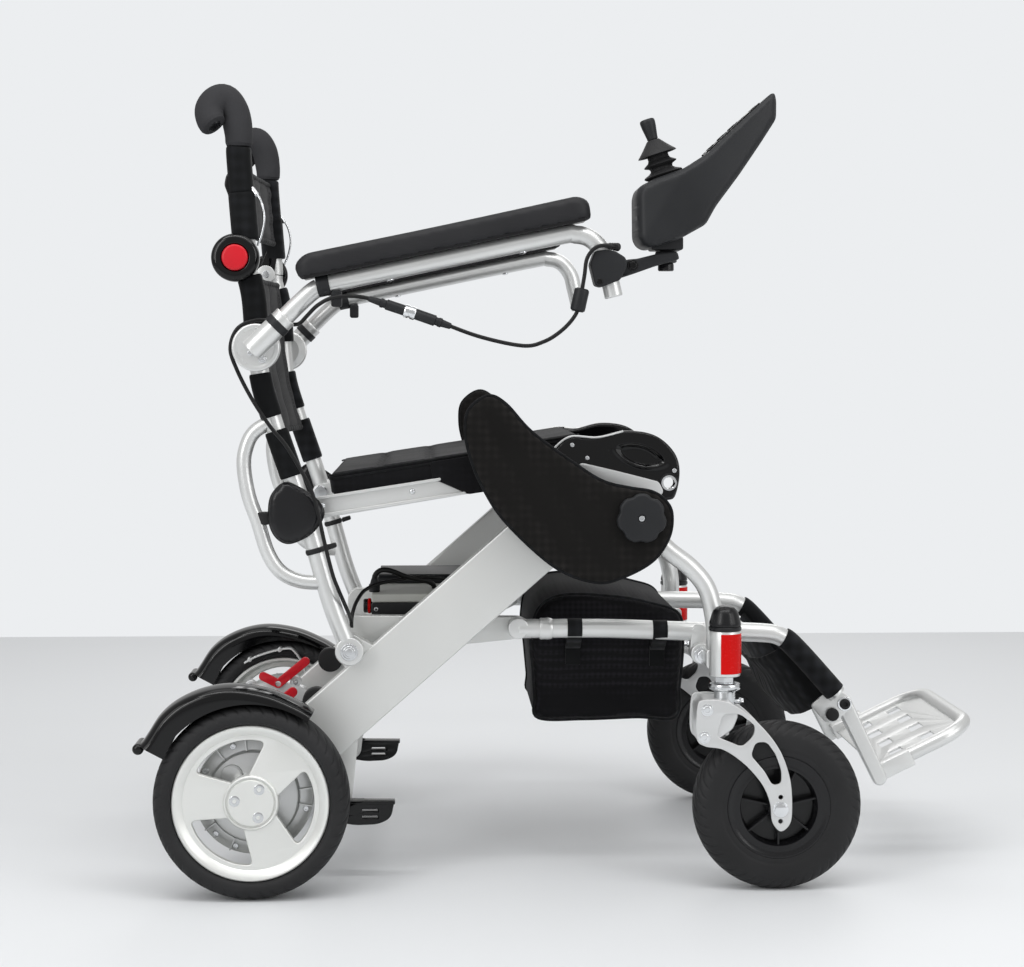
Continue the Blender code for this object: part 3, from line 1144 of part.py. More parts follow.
# Armrests
def arm_line(along, across):
    """A point along the straight of the armrest tube, from its kink, and across it, upwards."""
    tilt = atan2(ARM_FRONT[1] - ARM_KINK[1], ARM_FRONT[0] - ARM_KINK[0])
    return (ARM_KINK[0] + along * cos(tilt) - across * sin(tilt),
            ARM_KINK[1] + along * sin(tilt) + across * cos(tilt))


def armrest(side, label):
    """Flip-up armrest tube with its hinge disc and socket, bent down at the front."""
    y = side * ARM_MID
    path = smooth_path([
        point((ARM_HINGE[0] + 0.012, ARM_HINGE[1] + 0.0116), y), point((-0.3000, 0.6585), y),
        point(arm_line(0.004, -0.0015), y), point(arm_line(0.026, 0), y), point(arm_line(0.258, 0), y),
        point((-0.0045, 0.7290), y), point((0.0135, 0.7240), y), point((0.0262, 0.7090), y),
        point((0.0315, 0.6900), y), point((0.0385, 0.6610), y)], 1)
    rail = tube(path, ARM_TUBE_R, 10, "armrest_" + label)
    disc = cross_rod(ARM_HINGE, side * ARM_DISC_INNER, side * (ARM_DISC_INNER + ARM_DISC_T), ARM_DISC_R, 18)
    soften(disc, 0.0015)
    tilt = Vector((0.7115, 0.7027))
    low = point((ARM_HINGE[0] - 0.006 * tilt.x, ARM_HINGE[1] - 0.006 * tilt.y), y)
    high = point((ARM_HINGE[0] + 0.048 * tilt.x, ARM_HINGE[1] + 0.048 * tilt.y), y)
    socket = rod(low, high, SOCKET_R, 12)
    stud = cross_rod(ARM_HINGE, side * (ARM_DISC_INNER - 0.004), side * (ARM_DISC_INNER + 0.0085),
                     PIN_R + BORE_CLEARANCE)
    return fuse("armrest_" + label, [rail, disc, socket], silver, [stud], pivot=point(ARM_HINGE, y))


def arm_pad(side, label):
    """Moulded pad on the armrest tube, dished underneath where the tube lies."""
    y = side * ARM_MID
    rise = ARM_TUBE_R + GAP
    start = -0.0080
    profile = rounded([arm_line(start, rise), arm_line(start + PAD_LENGTH, rise),
                       arm_line(start + PAD_LENGTH + 0.0015, rise + PAD_T * 0.75),
                       arm_line(start + PAD_LENGTH - 0.010, rise + PAD_T + 0.0010),
                       arm_line(start + PAD_LENGTH * 0.5, rise + PAD_T - 0.0005),
                       arm_line(start + 0.012, rise + PAD_T),
                       arm_line(start - 0.002, rise + PAD_T * 0.6)], 0.006)
    pad = plate(profile, y - PAD_HALF_WIDTH, y + PAD_HALF_WIDTH, name="arm_pad_" + label)
    soften(pad, 0.0045)
    return fuse("arm_pad_" + label, [pad], black_matt, pivot=point(ARM_HINGE, y))


# Joystick controller, on the sitter's right armrest
def controller_bracket():
    """Clamp on the end of the armrest tube with an arm to the swivel boss."""
    y = -ARM_MID
    clamp = plate(rounded([(0.0110, 0.7060), (0.0240, 0.7120), (0.0470, 0.7060), (0.0500, 0.6960),
                           (0.0460, 0.6740), (0.0200, 0.6680), (0.0090, 0.6880)], 0.005),
                  y - 0.0155, y + 0.0155, name="controller_bracket")
    soften(clamp, 0.002)
    arm = plate(rounded([(0.0440, 0.6920), (0.0480, 0.7000), (SWIVEL_PIN_X + 0.006, 0.7085),
                         (SWIVEL_PIN_X + 0.010, 0.7030), (0.0800, 0.6960)], 0.003), y - 0.002, y + 0.020)
    boss = cross_z((SWIVEL_PIN_X, -CONTROLLER_MID - 0.004), 0.6995, 0.7122, BOSS_R)
    bore = tube([(0.0135, y, 0.7240), (0.0262, y, 0.7090), (0.0315, y, 0.6900), (0.0385, y, 0.6610)],
                ARM_TUBE_R + RUN, 10)
    hole = cross_z((SWIVEL_PIN_X, -CONTROLLER_MID - 0.004), 0.7040, 0.7200, STEM_R + BORE_CLEARANCE)
    return fuse("controller_bracket", [clamp, arm, boss], black_matt, [bore, hole],
                pivot=point(ARM_HINGE, y))


def controller_housing():
    """Wedge-shaped joystick housing that narrows towards its raised front."""
    outline = rounded([
        (0.0690, 0.7180), (0.0640, 0.7260), (0.0628, 0.7720), (0.0660, 0.7815), (0.0840, 0.7905),
        (0.1135, 0.8005), (0.1384, 0.8164), (0.1580, 0.8350), (0.2100, 0.8830), (0.2145, 0.8840),
        (0.2166, 0.8760), (0.2166, 0.8560), (0.1990, 0.8290), (0.1750, 0.7940), (0.1495, 0.7600),
        (0.1384, 0.7400), (0.1096, 0.7240), (0.0775, 0.7145)], 0.004)
    half = CONTROLLER_WIDTH / 2
    shell = plate(outline, -CONTROLLER_MID - half, -CONTROLLER_MID + half, name="controller_housing")
    for vertex in shell.data.vertices:
        reach = max(vertex.co.x - 0.120, 0) / 0.097
        narrow = 1 - 0.34 * reach ** 2
        vertex.co.y = -CONTROLLER_MID + (vertex.co.y + CONTROLLER_MID) * narrow
    soften(shell, 0.008)
    pin = cross_z((SWIVEL_PIN_X, -CONTROLLER_MID - 0.004), 0.7045, 0.7300, STEM_R)
    axis = Vector((-sin(STICK_TILT), 0, cos(STICK_TILT)))
    base = point(STICK_BASE, -CONTROLLER_MID)
    well = rod(base - axis * STICK_WELL_DEPTH, base + axis * 0.02, STICK_WELL_R, 16)
    key = rod(power_key_at(-0.0035), power_key_at(0.02), KEY_R + RUN, 16)
    return fuse("controller_housing", [shell, pin], black_matt, [well, key],
                pivot=(SWIVEL_PIN_X, -CONTROLLER_MID - 0.004, 0.7122))


def power_key_at(height):
    return (KEY_BASE[0] + height * sin(KEY_TILT), -CONTROLLER_MID, KEY_BASE[1] + height * cos(KEY_TILT))


def power_key():
    """Round push key on the controller's sloping face."""
    key = rod(power_key_at(-0.0015), power_key_at(0.0025), KEY_R, 16, KEY_R * 0.9)
    return fuse("power_key", [key], black_gloss, pivot=power_key_at(0))


def stick_at(height):
    axis = Vector((-sin(STICK_TILT), 0, cos(STICK_TILT)))
    return point(STICK_BASE, -CONTROLLER_MID) + axis * height


def stick_gimbal():
    """Ball and cross pin that the joystick rocks on."""
    centre = stick_at(STICK_PIVOT)
    bm = bmesh.new()
    bmesh.ops.create_uvsphere(bm, u_segments=8, v_segments=6, radius=BALL_R,
                              matrix=Matrix.Translation(centre))
    ball = from_bmesh("stick_gimbal", bm)
    reach = STICK_WELL_R * cos(pi / 16) - GAP
    pin = rod(centre - Vector((0, reach, 0)), centre + Vector((0, reach, 0)), 0.0015, 8)
    return fuse("stick_gimbal", [ball, pin], silver, pivot=centre)


def joystick():
    """Stick with a flared finger cap."""
    axis = stick_at(1) - stick_at(0)
    start = BALL_R + GAP
    profile = [(0, 0.0650), (0.0080, 0.0650), (0.0092, 0.0630), (0.0088, 0.0595), (0.0050, 0.0500),
               (STICK_R + 0.0005, 0.0440), (STICK_R, 0.0400), (STICK_R, 0.004),
               (0.0028, STICK_PIVOT + start), (0, STICK_PIVOT + start)]
    body = turned(profile, stick_at(0), axis, 12, "joystick")
    return fuse("joystick", [body], black_matt, pivot=stick_at(STICK_PIVOT))


def joystick_boot():
    """Bellows from the housing's face up to the stick."""
    axis = stick_at(1) - stick_at(0)
    outer = [(STICK_R + 0.0022, 0.0400), (0.0085, 0.0360), (0.0135, 0.0330), (0.0090, 0.0295),
             (0.0165, 0.0250), (0.0115, 0.0205), (0.0190, 0.0155), (0.0140, 0.0115), (0.0205, 0.0070),
             (0.0205, 0.0012)]
    inner = [(0.0130, 0.0012), (0.0125, 0.0115), (0.0100, 0.0205), (0.0076, 0.0295), (0.0062, 0.0350),
             (STICK_R + GAP, 0.0385), (STICK_R + GAP, 0.0400)]
    body = turned(outer + inner, stick_at(0), axis, 12, "joystick_boot", closed=True)
    return fuse("joystick_boot", [body], black_matt, pivot=stick_at(0))


# Cables
def cable(name, points, pivot):
    return fuse(name, [tube(points, CABLE_R, 6, name)], rubber, pivot=point(pivot, 0))


for label, side in SIDES.items():
    side_beam(side, label)
    motor(side, label)
    clutch_lever(side, label)
    fender(side, label)
    side_guard(side, label)
    guard_knob(side, label)
    rear_tyre(side, label)
    rear_rim(side, label)
    front_leg(side, label)
    hinge_plate(side, label)
    caster_fork(side, label)
    caster_wheel(side, label)
    back_upright(side, label)
    release_button(side, label)
    back_post(side, label)
    push_grip(side, label)
    seat_rail(side, label)
    armrest(side, label)
    arm_pad(side, label)
stand_bar()
front_axle()
leg_rest_frame()
footplate()
calf_strap()
storage_bag()
battery_tray()
control_box()
battery_pack()
back_sling_lower()
back_sling_upper()
seat_pad()
controller_bracket()
controller_housing()
power_key()
stick_gimbal()
joystick()
joystick_boot()
cable("arm_cable", ARM_CABLE, ARM_HINGE)
cable("back_cable", BACK_CABLE, BACK_PIVOT)
cable("tray_cable", TRAY_CABLE, BACK_PIVOT)
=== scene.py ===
import json
from math import atan2, cos, pi, radians, sin

import bmesh
import bpy
import numpy as np
from mathutils import Matrix, Vector
from mathutils.geometry import delaunay_2d_cdt


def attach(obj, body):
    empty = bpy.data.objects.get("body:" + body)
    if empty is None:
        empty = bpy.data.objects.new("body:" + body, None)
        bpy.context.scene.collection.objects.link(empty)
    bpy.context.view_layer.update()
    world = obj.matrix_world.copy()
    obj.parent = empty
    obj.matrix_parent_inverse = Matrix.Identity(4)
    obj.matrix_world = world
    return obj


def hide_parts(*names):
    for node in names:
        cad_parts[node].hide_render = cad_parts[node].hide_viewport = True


# Folding power wheelchair, seen from the sitter's right.
# It faces +X, +Y is the sitter's left, +Z is up, all in metres, with the floor at 0.
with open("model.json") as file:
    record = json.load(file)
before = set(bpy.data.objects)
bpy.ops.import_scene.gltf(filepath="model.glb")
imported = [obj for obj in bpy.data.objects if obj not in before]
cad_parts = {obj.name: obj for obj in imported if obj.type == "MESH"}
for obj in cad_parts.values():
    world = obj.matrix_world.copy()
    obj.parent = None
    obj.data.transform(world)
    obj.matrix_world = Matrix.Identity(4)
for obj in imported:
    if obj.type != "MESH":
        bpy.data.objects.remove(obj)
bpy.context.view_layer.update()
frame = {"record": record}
print("frame loaded")

sides = {"right": -1, "left": 1}
bodyOf = {node: body for body, nodes in frame["record"]["behaviour"]["bodies"].items() for node in nodes}


# numbers that several pieces share
joint = {
    "rearAxle": (-.36, .108), "casterAxle": (.225, .0945), "backPivot": (-.254, .2655),
    "seatPivot": (-.306, .421), "seatFront": (-.04, .462), "front": (.0727, .416),
    "tray": (-.062, .2846), "leg": (.147, .2567), "foot": (.3187, .193),
    "arm": (-.3535, .606), "halfBack": (-.377, .705),
}
layer = {"beamIn": .176, "beamOut": .198, "tube": .2105, "rail": .164}


# small tools
def srgb(code):  # hex colour to linear red, green, blue
    parts = [int(code[i:i + 2], 16) / 255 for i in (1, 3, 5)]
    return [p / 12.92 if p <= .04045 else ((p + .055) / 1.055) ** 2.4 for p in parts] + [1.0]


def addNode(tree, kind, inputs=None, **settings):  # one node, its settings, then its sockets or links
    node = tree.nodes.new("ShaderNode" + kind)
    for key, value in settings.items():
        setattr(node, key, value)
    for key, value in (inputs or {}).items():
        if isinstance(value, bpy.types.NodeSocket):
            tree.links.new(value, node.inputs[key])
        else:
            node.inputs[key].default_value = value
    return node


def blankMaterial(name, colour, roughness, metallic=0.0, **sockets):
    material = bpy.data.materials.new(name)
    material.use_nodes = True
    shader = material.node_tree.nodes["Principled BSDF"]
    shader.inputs["Base Color"].default_value = srgb(colour)
    shader.inputs["Roughness"].default_value = roughness
    shader.inputs["Metallic"].default_value = metallic
    for key, value in sockets.items():
        shader.inputs[key.replace("_", " ")].default_value = value
    return material, material.node_tree, shader


def rampBetween(tree, factor, low, high, lowAt=.35, highAt=.65):  # two colours mixed by a factor
    ramp = addNode(tree, "ValToRGB", {"Fac": factor})
    ramp.color_ramp.elements[0].position, ramp.color_ramp.elements[1].position = lowAt, highAt
    ramp.color_ramp.elements[0].color, ramp.color_ramp.elements[1].color = srgb(low), srgb(high)
    return ramp.outputs["Color"]


def rangeOf(tree, factor, low, high, fromLow=0.0, fromHigh=1.0):
    return addNode(tree, "MapRange", {"Value": factor, "From Min": fromLow, "From Max": fromHigh, "To Min": low,
        "To Max": high}).outputs["Result"]


def maths(tree, operation, a, b):
    return addNode(tree, "Math", {0: a, 1: b}, operation=operation).outputs[0]


def bumpInto(tree, shader, height, distance, strength=1.0):
    bump = addNode(tree, "Bump", {"Height": height, "Distance": distance, "Strength": strength})
    tree.links.new(bump.outputs["Normal"], shader.inputs["Normal"])


def objectPlace(tree):
    return addNode(tree, "TexCoord").outputs["Object"]


def noiseOf(tree, place, size, detail=3.0, roughness=.5):  # size is the speckle's width in millimetres
    return addNode(tree, "TexNoise", {
        "Vector": place, "Scale": 1000.0 / (size * 2.0), "Detail": detail, "Roughness": roughness}).outputs["Fac"]


# materials
# the material functions' colours are the light and dark ends of a soft cloud, which keeps flat areas alive
def coatedAluminium(name, light, dark, roughness, metallic=.85):  # satin sheen over a faint orange peel
    material, tree, shader = blankMaterial(name, light, roughness, metallic)
    place = objectPlace(tree)
    cloud = noiseOf(tree, place, 60, 2)
    speck = noiseOf(tree, place, .9, 2)
    tree.links.new(rampBetween(tree, cloud, dark, light, .3, .7), shader.inputs["Base Color"])
    tree.links.new(rangeOf(tree, speck, roughness - .05, roughness + .07), shader.inputs["Roughness"])
    bumpInto(tree, shader, speck, .000012, .3)
    return material


def mouldedPlastic(name, light, dark, roughness, grain, depth, gloss=.3):  # fine grain breaks up the shine
    material, tree, shader = blankMaterial(name, light, roughness, 0.0, Specular_IOR_Level=gloss)
    place = objectPlace(tree)
    cloud = noiseOf(tree, place, 35, 3)
    pits = noiseOf(tree, place, grain, 2, .6)
    tree.links.new(rampBetween(tree, cloud, dark, light, .3, .7), shader.inputs["Base Color"])
    tree.links.new(rangeOf(tree, pits, roughness * .85, roughness * 1.18), shader.inputs["Roughness"])
    if depth:
        bumpInto(tree, shader, pits, depth, .8)
    return material


def wovenNylon(name, light, dark, thread, depth, sheen=.25):  # a dull plain weave, its threads this many mm apart
    material, tree, shader = blankMaterial(name, light, .78, 0.0, Sheen_Weight=sheen, Sheen_Roughness=.45)
    shader.inputs["Specular IOR Level"].default_value = .12
    place = objectPlace(tree)
    x, y, z = (addNode(tree, "TexWave", {"Vector": place, "Scale": 1000.0 / (thread * 2 * pi) * pi / 10,
        "Distortion": .6, "Detail": 1.0, "Detail Scale": 2.0}, wave_type="BANDS",
        bands_direction=axis).outputs["Fac"] for axis in "XYZ")
    one = maths(tree, "MULTIPLY", x, y)
    two = maths(tree, "MULTIPLY", y, z)
    weave = maths(tree, "ADD", one, two)
    cloud = noiseOf(tree, place, 40, 3)
    mixed = maths(tree, "MULTIPLY", weave, cloud)
    tree.links.new(rampBetween(tree, mixed, dark, light, .05, .75), shader.inputs["Base Color"])
    tree.links.new(rangeOf(tree, cloud, .72, .86), shader.inputs["Roughness"])
    bumpInto(tree, shader, weave, depth, .9)
    return material


def brightMetal(name, colour, roughness):  # plated steel that mirrors, blurred by fine turning marks
    material, tree, shader = blankMaterial(name, colour, roughness, 1.0)
    scratch = noiseOf(tree, objectPlace(tree), .5, 2)
    tree.links.new(rangeOf(tree, scratch, roughness - .05, roughness + .08), shader.inputs["Roughness"])
    return material


look = {
    "frame": coatedAluminium("satin_silver_powder_coat", "#e0e1e0", "#d8d9d8", .32, .65),  # pale satin tubes
    "beam": coatedAluminium("champagne_silver_powder_coat", "#dcdddb", "#d5d6d4", .42, .6),  # warmer and duller
    "cast": coatedAluminium("sprayed_silver_casting", "#dadbdb", "#d0d1d1", .34, .65),  # castings, a shade greyer
    "rim": coatedAluminium("pearl_silver_lacquered_casting", "#e6e7e4", "#dedfdc", .34, .55),  # whitish lacquer
    "brass": brightMetal("yellow_passivated_steel", "#c8a04a", .3),  # yellow glint of a motor's ring
    "steel": brightMetal("zinc_plated_steel", "#d4d6d8", .22),  # bright screws and pins
    "chrome": brightMetal("chrome_plated_steel", "#e2e4e6", .1),  # sharp glints
    "gloss": mouldedPlastic("polished_black_abs", "#070708", "#050506", .07, 1.0, 0.0, .34),  # clear reflections
    "matt": mouldedPlastic("fine_grained_black_abs", "#262729", "#202123", .44, .5, .00005, .25),  # soft grey sheen
    "hub": mouldedPlastic("satin_black_nylon", "#161618", "#121214", .24, .7, .00003, .35),  # half-glossy black
    "pad": mouldedPlastic("skinned_black_polyurethane", "#29292b", "#232325", .5, .9, .0001, .22),  # leathery
    "foam": mouldedPlastic("black_nitrile_foam", "#38383a", "#303032", .82, .8, .00025, .15),  # dull, open pores
    "rubber": mouldedPlastic("black_moulded_rubber", "#252526", "#1d1d1e", .5, .7, .00006, .25),  # dusty black
    "tyre": mouldedPlastic("black_solid_tyre_rubber", "#2b2b2c", "#232324", .6, .8, .00008, .22),  # greyish tread
    "cable": mouldedPlastic("black_pvc_cable_skin", "#121213", "#0e0e0f", .38, .5, 0.0),  # smooth dark skin
    "red": mouldedPlastic("red_abs", "#c81826", "#ba1421", .3, .8, .00002, .35),  # the only strong colour
    "redBand": mouldedPlastic("red_reflective_tape", "#cf0301", "#c00201", .26, 1.4, .00003, .18),  # reflector band
    "grey": mouldedPlastic("light_grey_abs", "#c9cac4", "#bfc0ba", .48, .6, .00005),  # pale lid and lamps
    "seat": wovenNylon("black_padded_oxford_nylon", "#1e1e21", "#0f0f11", 1.3, .00022, .1),  # coarse padded cloth
    "bag": wovenNylon("black_polyester_pack_cloth", "#1d1c20", "#0f0f11", 1.0, .00015, .06),  # finer, flatter cloth
    "guard": wovenNylon("black_brushed_loop_fabric", "#242221", "#121110", 1.5, .0004, .1),  # fuzzy, warm black
    "webbing": wovenNylon("black_ribbed_elastic_webbing", "#202124", "#101112", 2.2, .00045, .08),  # ribbed bands
}
print("materials ready")


# tools for objects and meshes
def addObject(name, data):
    obj = bpy.data.objects.new(name, data)
    bpy.context.scene.collection.objects.link(obj)
    return obj


def finish(name, mesh, finishKey, body, replaced=(), sharpAngle=38):
    # the object of one piece, with its material, body and the CAD nodes that it stands for
    mesh.name = name
    obj = addObject(name, mesh)
    mesh.materials.clear()
    mesh.materials.append(look[finishKey])
    mesh.shade_smooth()
    mesh.set_sharp_from_angle(angle=radians(sharpAngle))
    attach(obj, body)
    if replaced:
        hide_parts(*replaced)
    return obj


def unit(vectors):
    return vectors / np.linalg.norm(vectors, axis=-1)[..., None]


def ramp(x):  # 0 below 0, 1 above 1, x between them
    return np.clip(x, 0, 1)


def spots(x, y, z):  # points from three arrays or numbers
    return np.stack(np.broadcast_arrays(x, y, z), -1)


def lift(flat, y):  # (x, z) points taken to one y
    flat = np.asarray(flat, float)
    return spots(flat[:, 0], y, flat[:, 1])


def turns(count):  # even angles round a circle
    return np.linspace(0, 2 * pi, count, endpoint=False)


def runsOf(path):  # length along the path at each of its points
    return np.concatenate([[0], np.cumsum(np.linalg.norm(np.diff(path, axis=0), axis=1))])


def atRuns(path, runs):  # points of the path at these lengths along it
    return np.stack([np.interp(runs, runsOf(path), path[:, k]) for k in range(path.shape[1])], -1)


def mirrored(half):  # a profile and its mirror image, the image in reverse order
    return half + [(a, -b) for a, b in half[::-1]]


def rings(u, v, count):  # unit circles spanned by the vectors u and v
    a = turns(count)[:, None]
    return np.cos(a) * u[..., None, :] + np.sin(a) * v[..., None, :]


def endCaps(rows, columns):  # one face across each end of a sweep's grid
    return [list(range(columns)), list(range((rows - 1) * columns, rows * columns))[::-1]]


def bandFaces(loop, count):  # quads from a loop of points to the same loop, count numbers on
    return [[a, b, count + b, count + a] for a, b in zip(loop, [*loop[1:], loop[0]])]


def catmullRom(a, b, c, d, t):  # the cubic from b to c that heads from a and towards d
    return .5 * (2 * b + (c - a) * t + (2 * a - 5 * b + 4 * c - d) * t ** 2 + (3 * b - a - 3 * c + d) * t ** 3)


def meshFrom(verts, faces):
    mesh = bpy.data.meshes.new("piece")
    mesh.from_pydata(np.asarray(verts).reshape(-1, 3).tolist(), [], faces)
    mesh.update()
    return mesh


def gridFaces(rows, columns, loopRows=False, loopColumns=False, start=0):
    # quads between neighbouring grid points; a loop joins the last row or column to the first
    i, j = np.meshgrid(np.arange(rows - (not loopRows)), np.arange(columns - (not loopColumns)), indexing="ij")
    k, l = (i + 1) % rows, (j + 1) % columns
    quads = np.stack([i * columns + j, i * columns + l, k * columns + l, k * columns + j], -1)
    return (quads.reshape(-1, 4) + start).tolist()


def outwards(mesh):  # merge doubles and turn all faces outwards
    bm = bmesh.new()
    bm.from_mesh(mesh)
    bmesh.ops.remove_doubles(bm, verts=bm.verts, dist=1e-6)
    bmesh.ops.recalc_face_normals(bm, faces=bm.faces)
    bm.to_mesh(mesh)
    bm.free()
    return mesh


def solid(verts, faces):
    return outwards(meshFrom(verts, faces))


def joined(meshes):
    verts, faces, start = [], [], 0
    for mesh in meshes:
        block = np.empty(len(mesh.vertices) * 3)
        mesh.vertices.foreach_get("co", block)
        verts.append(block.reshape(-1, 3))
        faces += [[start + v for v in p.vertices] for p in mesh.polygons]
        start += len(mesh.vertices)
    return meshFrom(np.concatenate(verts), faces)


def curvedPath(points, spacing=.004):
    # Catmull-Rom through the points, then even steps of about the spacing
    p = np.asarray(points, float)
    p = np.vstack([2 * p[0] - p[1], p, 2 * p[-1] - p[-2]])
    t = np.linspace(0, 1, 13)[:-1, None]
    a, b, c, d = (p[i:len(p) - 3 + i, None, :] for i in range(4))
    dense = np.vstack([catmullRom(a, b, c, d, t).reshape(-1, p.shape[1]), p[-2]])
    length = runsOf(dense)[-1]
    return atRuns(dense, np.linspace(0, length, max(int(length / spacing), 2) + 1))


def sidePath(points, y, spacing=.004):  # a curved path through (x, z) points at one y
    return lift(curvedPath(points, spacing), y)


def sweep(path, radius, around=28, rounding=0.0):
    # circle of the radius carried along the path, its frame turned as little as possible from step to step;
    # radius may be one number or one for each point; rounding is the ends' edge radius
    path = np.asarray(path, float)
    radii = np.broadcast_to(np.asarray(radius, float), (len(path),)).copy()
    tangent = unit(np.gradient(path, axis=0))
    if rounding:
        reach = [np.linalg.norm(path - end, axis=1) for end in (path[0], path[-1])]
        keep = np.minimum(*reach) > rounding
        path = np.vstack([path[0], path[0] + tangent[0] * rounding * .3, path[0] + tangent[0] * rounding,
            path[keep], path[-1] - tangent[-1] * rounding, path[-1] - tangent[-1] * rounding * .3, path[-1]])
        first, last = radii[0], radii[-1]
        radii = np.concatenate([[first - rounding, first - rounding * .3, first], radii[keep],
            [last, last - rounding * .3, last - rounding]])
        tangent = unit(np.gradient(path, axis=0))
    side = np.cross(tangent[0], [0.0, 1.0, 0.0])
    if np.linalg.norm(side) < .2:
        side = np.cross(tangent[0], [1.0, 0.0, 0.0])
    normals = [side / np.linalg.norm(side)]
    for t in tangent[1:]:  # one vector for each ring, not for each vertex
        n = normals[-1] - t * np.dot(normals[-1], t)
        normals.append(n / np.linalg.norm(n))
    normal = np.array(normals)
    verts = path[:, None, :] + rings(normal, np.cross(tangent, normal), around) * radii[:, None, None]
    rows = len(path)
    return solid(verts, gridFaces(rows, around, loopColumns=True) + endCaps(rows, around))


def revolve(profile, centre, axis, around=48, closed=False):
    # (radius, along) points turned about the axis through the centre
    profile = np.asarray(profile, float)
    axis = Vector(axis).normalized()
    helper = Vector((0, 0, 1)) if abs(axis.z) < .9 else Vector((1, 0, 0))
    u = axis.cross(helper).normalized()
    ring = rings(np.array(u), np.array(axis.cross(u)), around)
    verts = np.array(centre) + profile[:, None, 1:] * np.array(axis) + profile[:, None, :1] * ring
    return solid(verts, gridFaces(len(profile), around, closed, True))


def turned(profile, xz, y, side, around=48, closed=False):  # revolved on a line along Y through (x, z)
    return revolve(profile, (xz[0], y, xz[1]), (0, side, 0), around, closed)


def slab(outline, yLow, yHigh, bevel=.001, holes=(), rings=2):
    # a flat (x, z) outline with holes, as thick as yLow to yHigh, its edges rounded by the bevel
    low, high = sorted((yLow, yHigh))
    curve = bpy.data.curves.new("outline", "CURVE")
    curve.dimensions, curve.fill_mode, curve.resolution_u = "2D", "BOTH", 1
    curve.extrude = (high - low) / 2 - bevel
    curve.bevel_depth, curve.offset, curve.bevel_resolution = bevel, -bevel, rings
    for loop in (outline, *holes):
        spline = curve.splines.new("POLY")
        spline.points.add(len(loop) - 1)
        for spot, (x, z) in zip(spline.points, loop):
            spot.co = (x, z, 0, 1)
        spline.use_cyclic_u = True
    holder = addObject("outline", curve)
    bpy.context.view_layer.update()
    mesh = bpy.data.meshes.new_from_object(holder.evaluated_get(bpy.context.evaluated_depsgraph_get()))
    bpy.data.objects.remove(holder, do_unlink=True)
    bpy.data.curves.remove(curve)
    mesh.transform(Matrix.Translation((0, (low + high) / 2, 0)) @ Matrix.Rotation(pi / 2, 4, "X"))
    return outwards(mesh)


def circle(centre, radius, count=40):
    a = turns(count)
    return np.stack([centre[0] + radius * np.cos(a), centre[1] + radius * np.sin(a)], 1).tolist()


def closedCurve(points, per=8):
    # closed Catmull-Rom through (x, z) points
    p = np.asarray(points, float)
    a, b, c, d = (np.roll(p, 1 - i, axis=0)[:, None, :] for i in range(4))
    t = np.linspace(0, 1, per, endpoint=False)[None, :, None]
    return catmullRom(a, b, c, d, t).reshape(-1, 2).tolist()


def roundCorners(points, radius, count=6):
    # each corner replaced by a short parabola that touches both sides
    p = np.asarray(points, float)
    u, v = np.roll(p, 1, axis=0) - p, np.roll(p, -1, axis=0) - p
    lu, lv = np.linalg.norm(u, axis=1), np.linalg.norm(v, axis=1)
    reach = np.minimum(radius, .48 * np.minimum(lu, lv))[:, None]
    start, end = p + u / lu[:, None] * reach, p + v / lv[:, None] * reach
    t = np.linspace(0, 1, count)[None, :, None]
    bend = start[:, None] * (1 - t) ** 2 + 2 * p[:, None] * t * (1 - t) + end[:, None] * t ** 2
    return bend.reshape(-1, 2).tolist()


def bar(a, b, radiusA, radiusB, count=20):
    # outline of a bar with round ends about a and b
    turn = atan2(b[1] - a[1], b[0] - a[0])
    s = np.linspace(-pi / 2, pi / 2, count)
    near = np.stack([a[0] - radiusA * np.cos(s + turn), a[1] - radiusA * np.sin(s + turn)], 1)
    far = np.stack([b[0] + radiusB * np.cos(s + turn), b[1] + radiusB * np.sin(s + turn)], 1)
    return np.vstack([far, near]).tolist()


def disc(xz, yFrom, yTo, radius, edge=.001, around=40):
    # a turned disc or stud along Y with rounded edges
    low, high = sorted((yFrom, yTo))
    edge = min(edge, (high - low) / 2.1, radius * .9)
    s = np.linspace(0, pi / 2, 5)
    top = np.stack([radius - edge + edge * np.sin(s), high - edge + edge * np.cos(s)], 1)
    bottom = np.stack([radius - edge + edge * np.cos(s), low + edge - edge * np.sin(s)], 1)
    profile = np.vstack([[[0, high]], top, bottom, [[0, low]]])
    return turned(profile, xz, 0, 1, around)


def capScrew(xz, y, out, radius=.005, height=.004):
    # socket cap screw: a rounded head with a round recess, its face at y, looking along out
    s = np.linspace(0, pi / 2, 4)
    edge = radius * .22
    rim = np.stack([radius - edge + edge * np.sin(s), -edge + edge * np.cos(s)], 1)
    profile = np.vstack([[[0, -height * .55], [radius * .48, -height * .55], [radius * .5, 0]], rim,
        [[radius, -height], [0, -height]]])
    return turned(profile, xz, y, out, 24)


print("tools ready")


# camera, lights and floor
view = {"place": (-.163, -2.555, .587), "turn": (86.75, 0.0, -2.25), "lens": 73.44}
cameraData = bpy.data.cameras.new("camera")
cameraData.lens, cameraData.sensor_width, cameraData.sensor_fit = view["lens"], 36.0, "HORIZONTAL"
camera = addObject("camera", cameraData)
camera.location = view["place"]
camera.rotation_euler = [radians(v) for v in view["turn"]]
bpy.context.scene.camera = camera

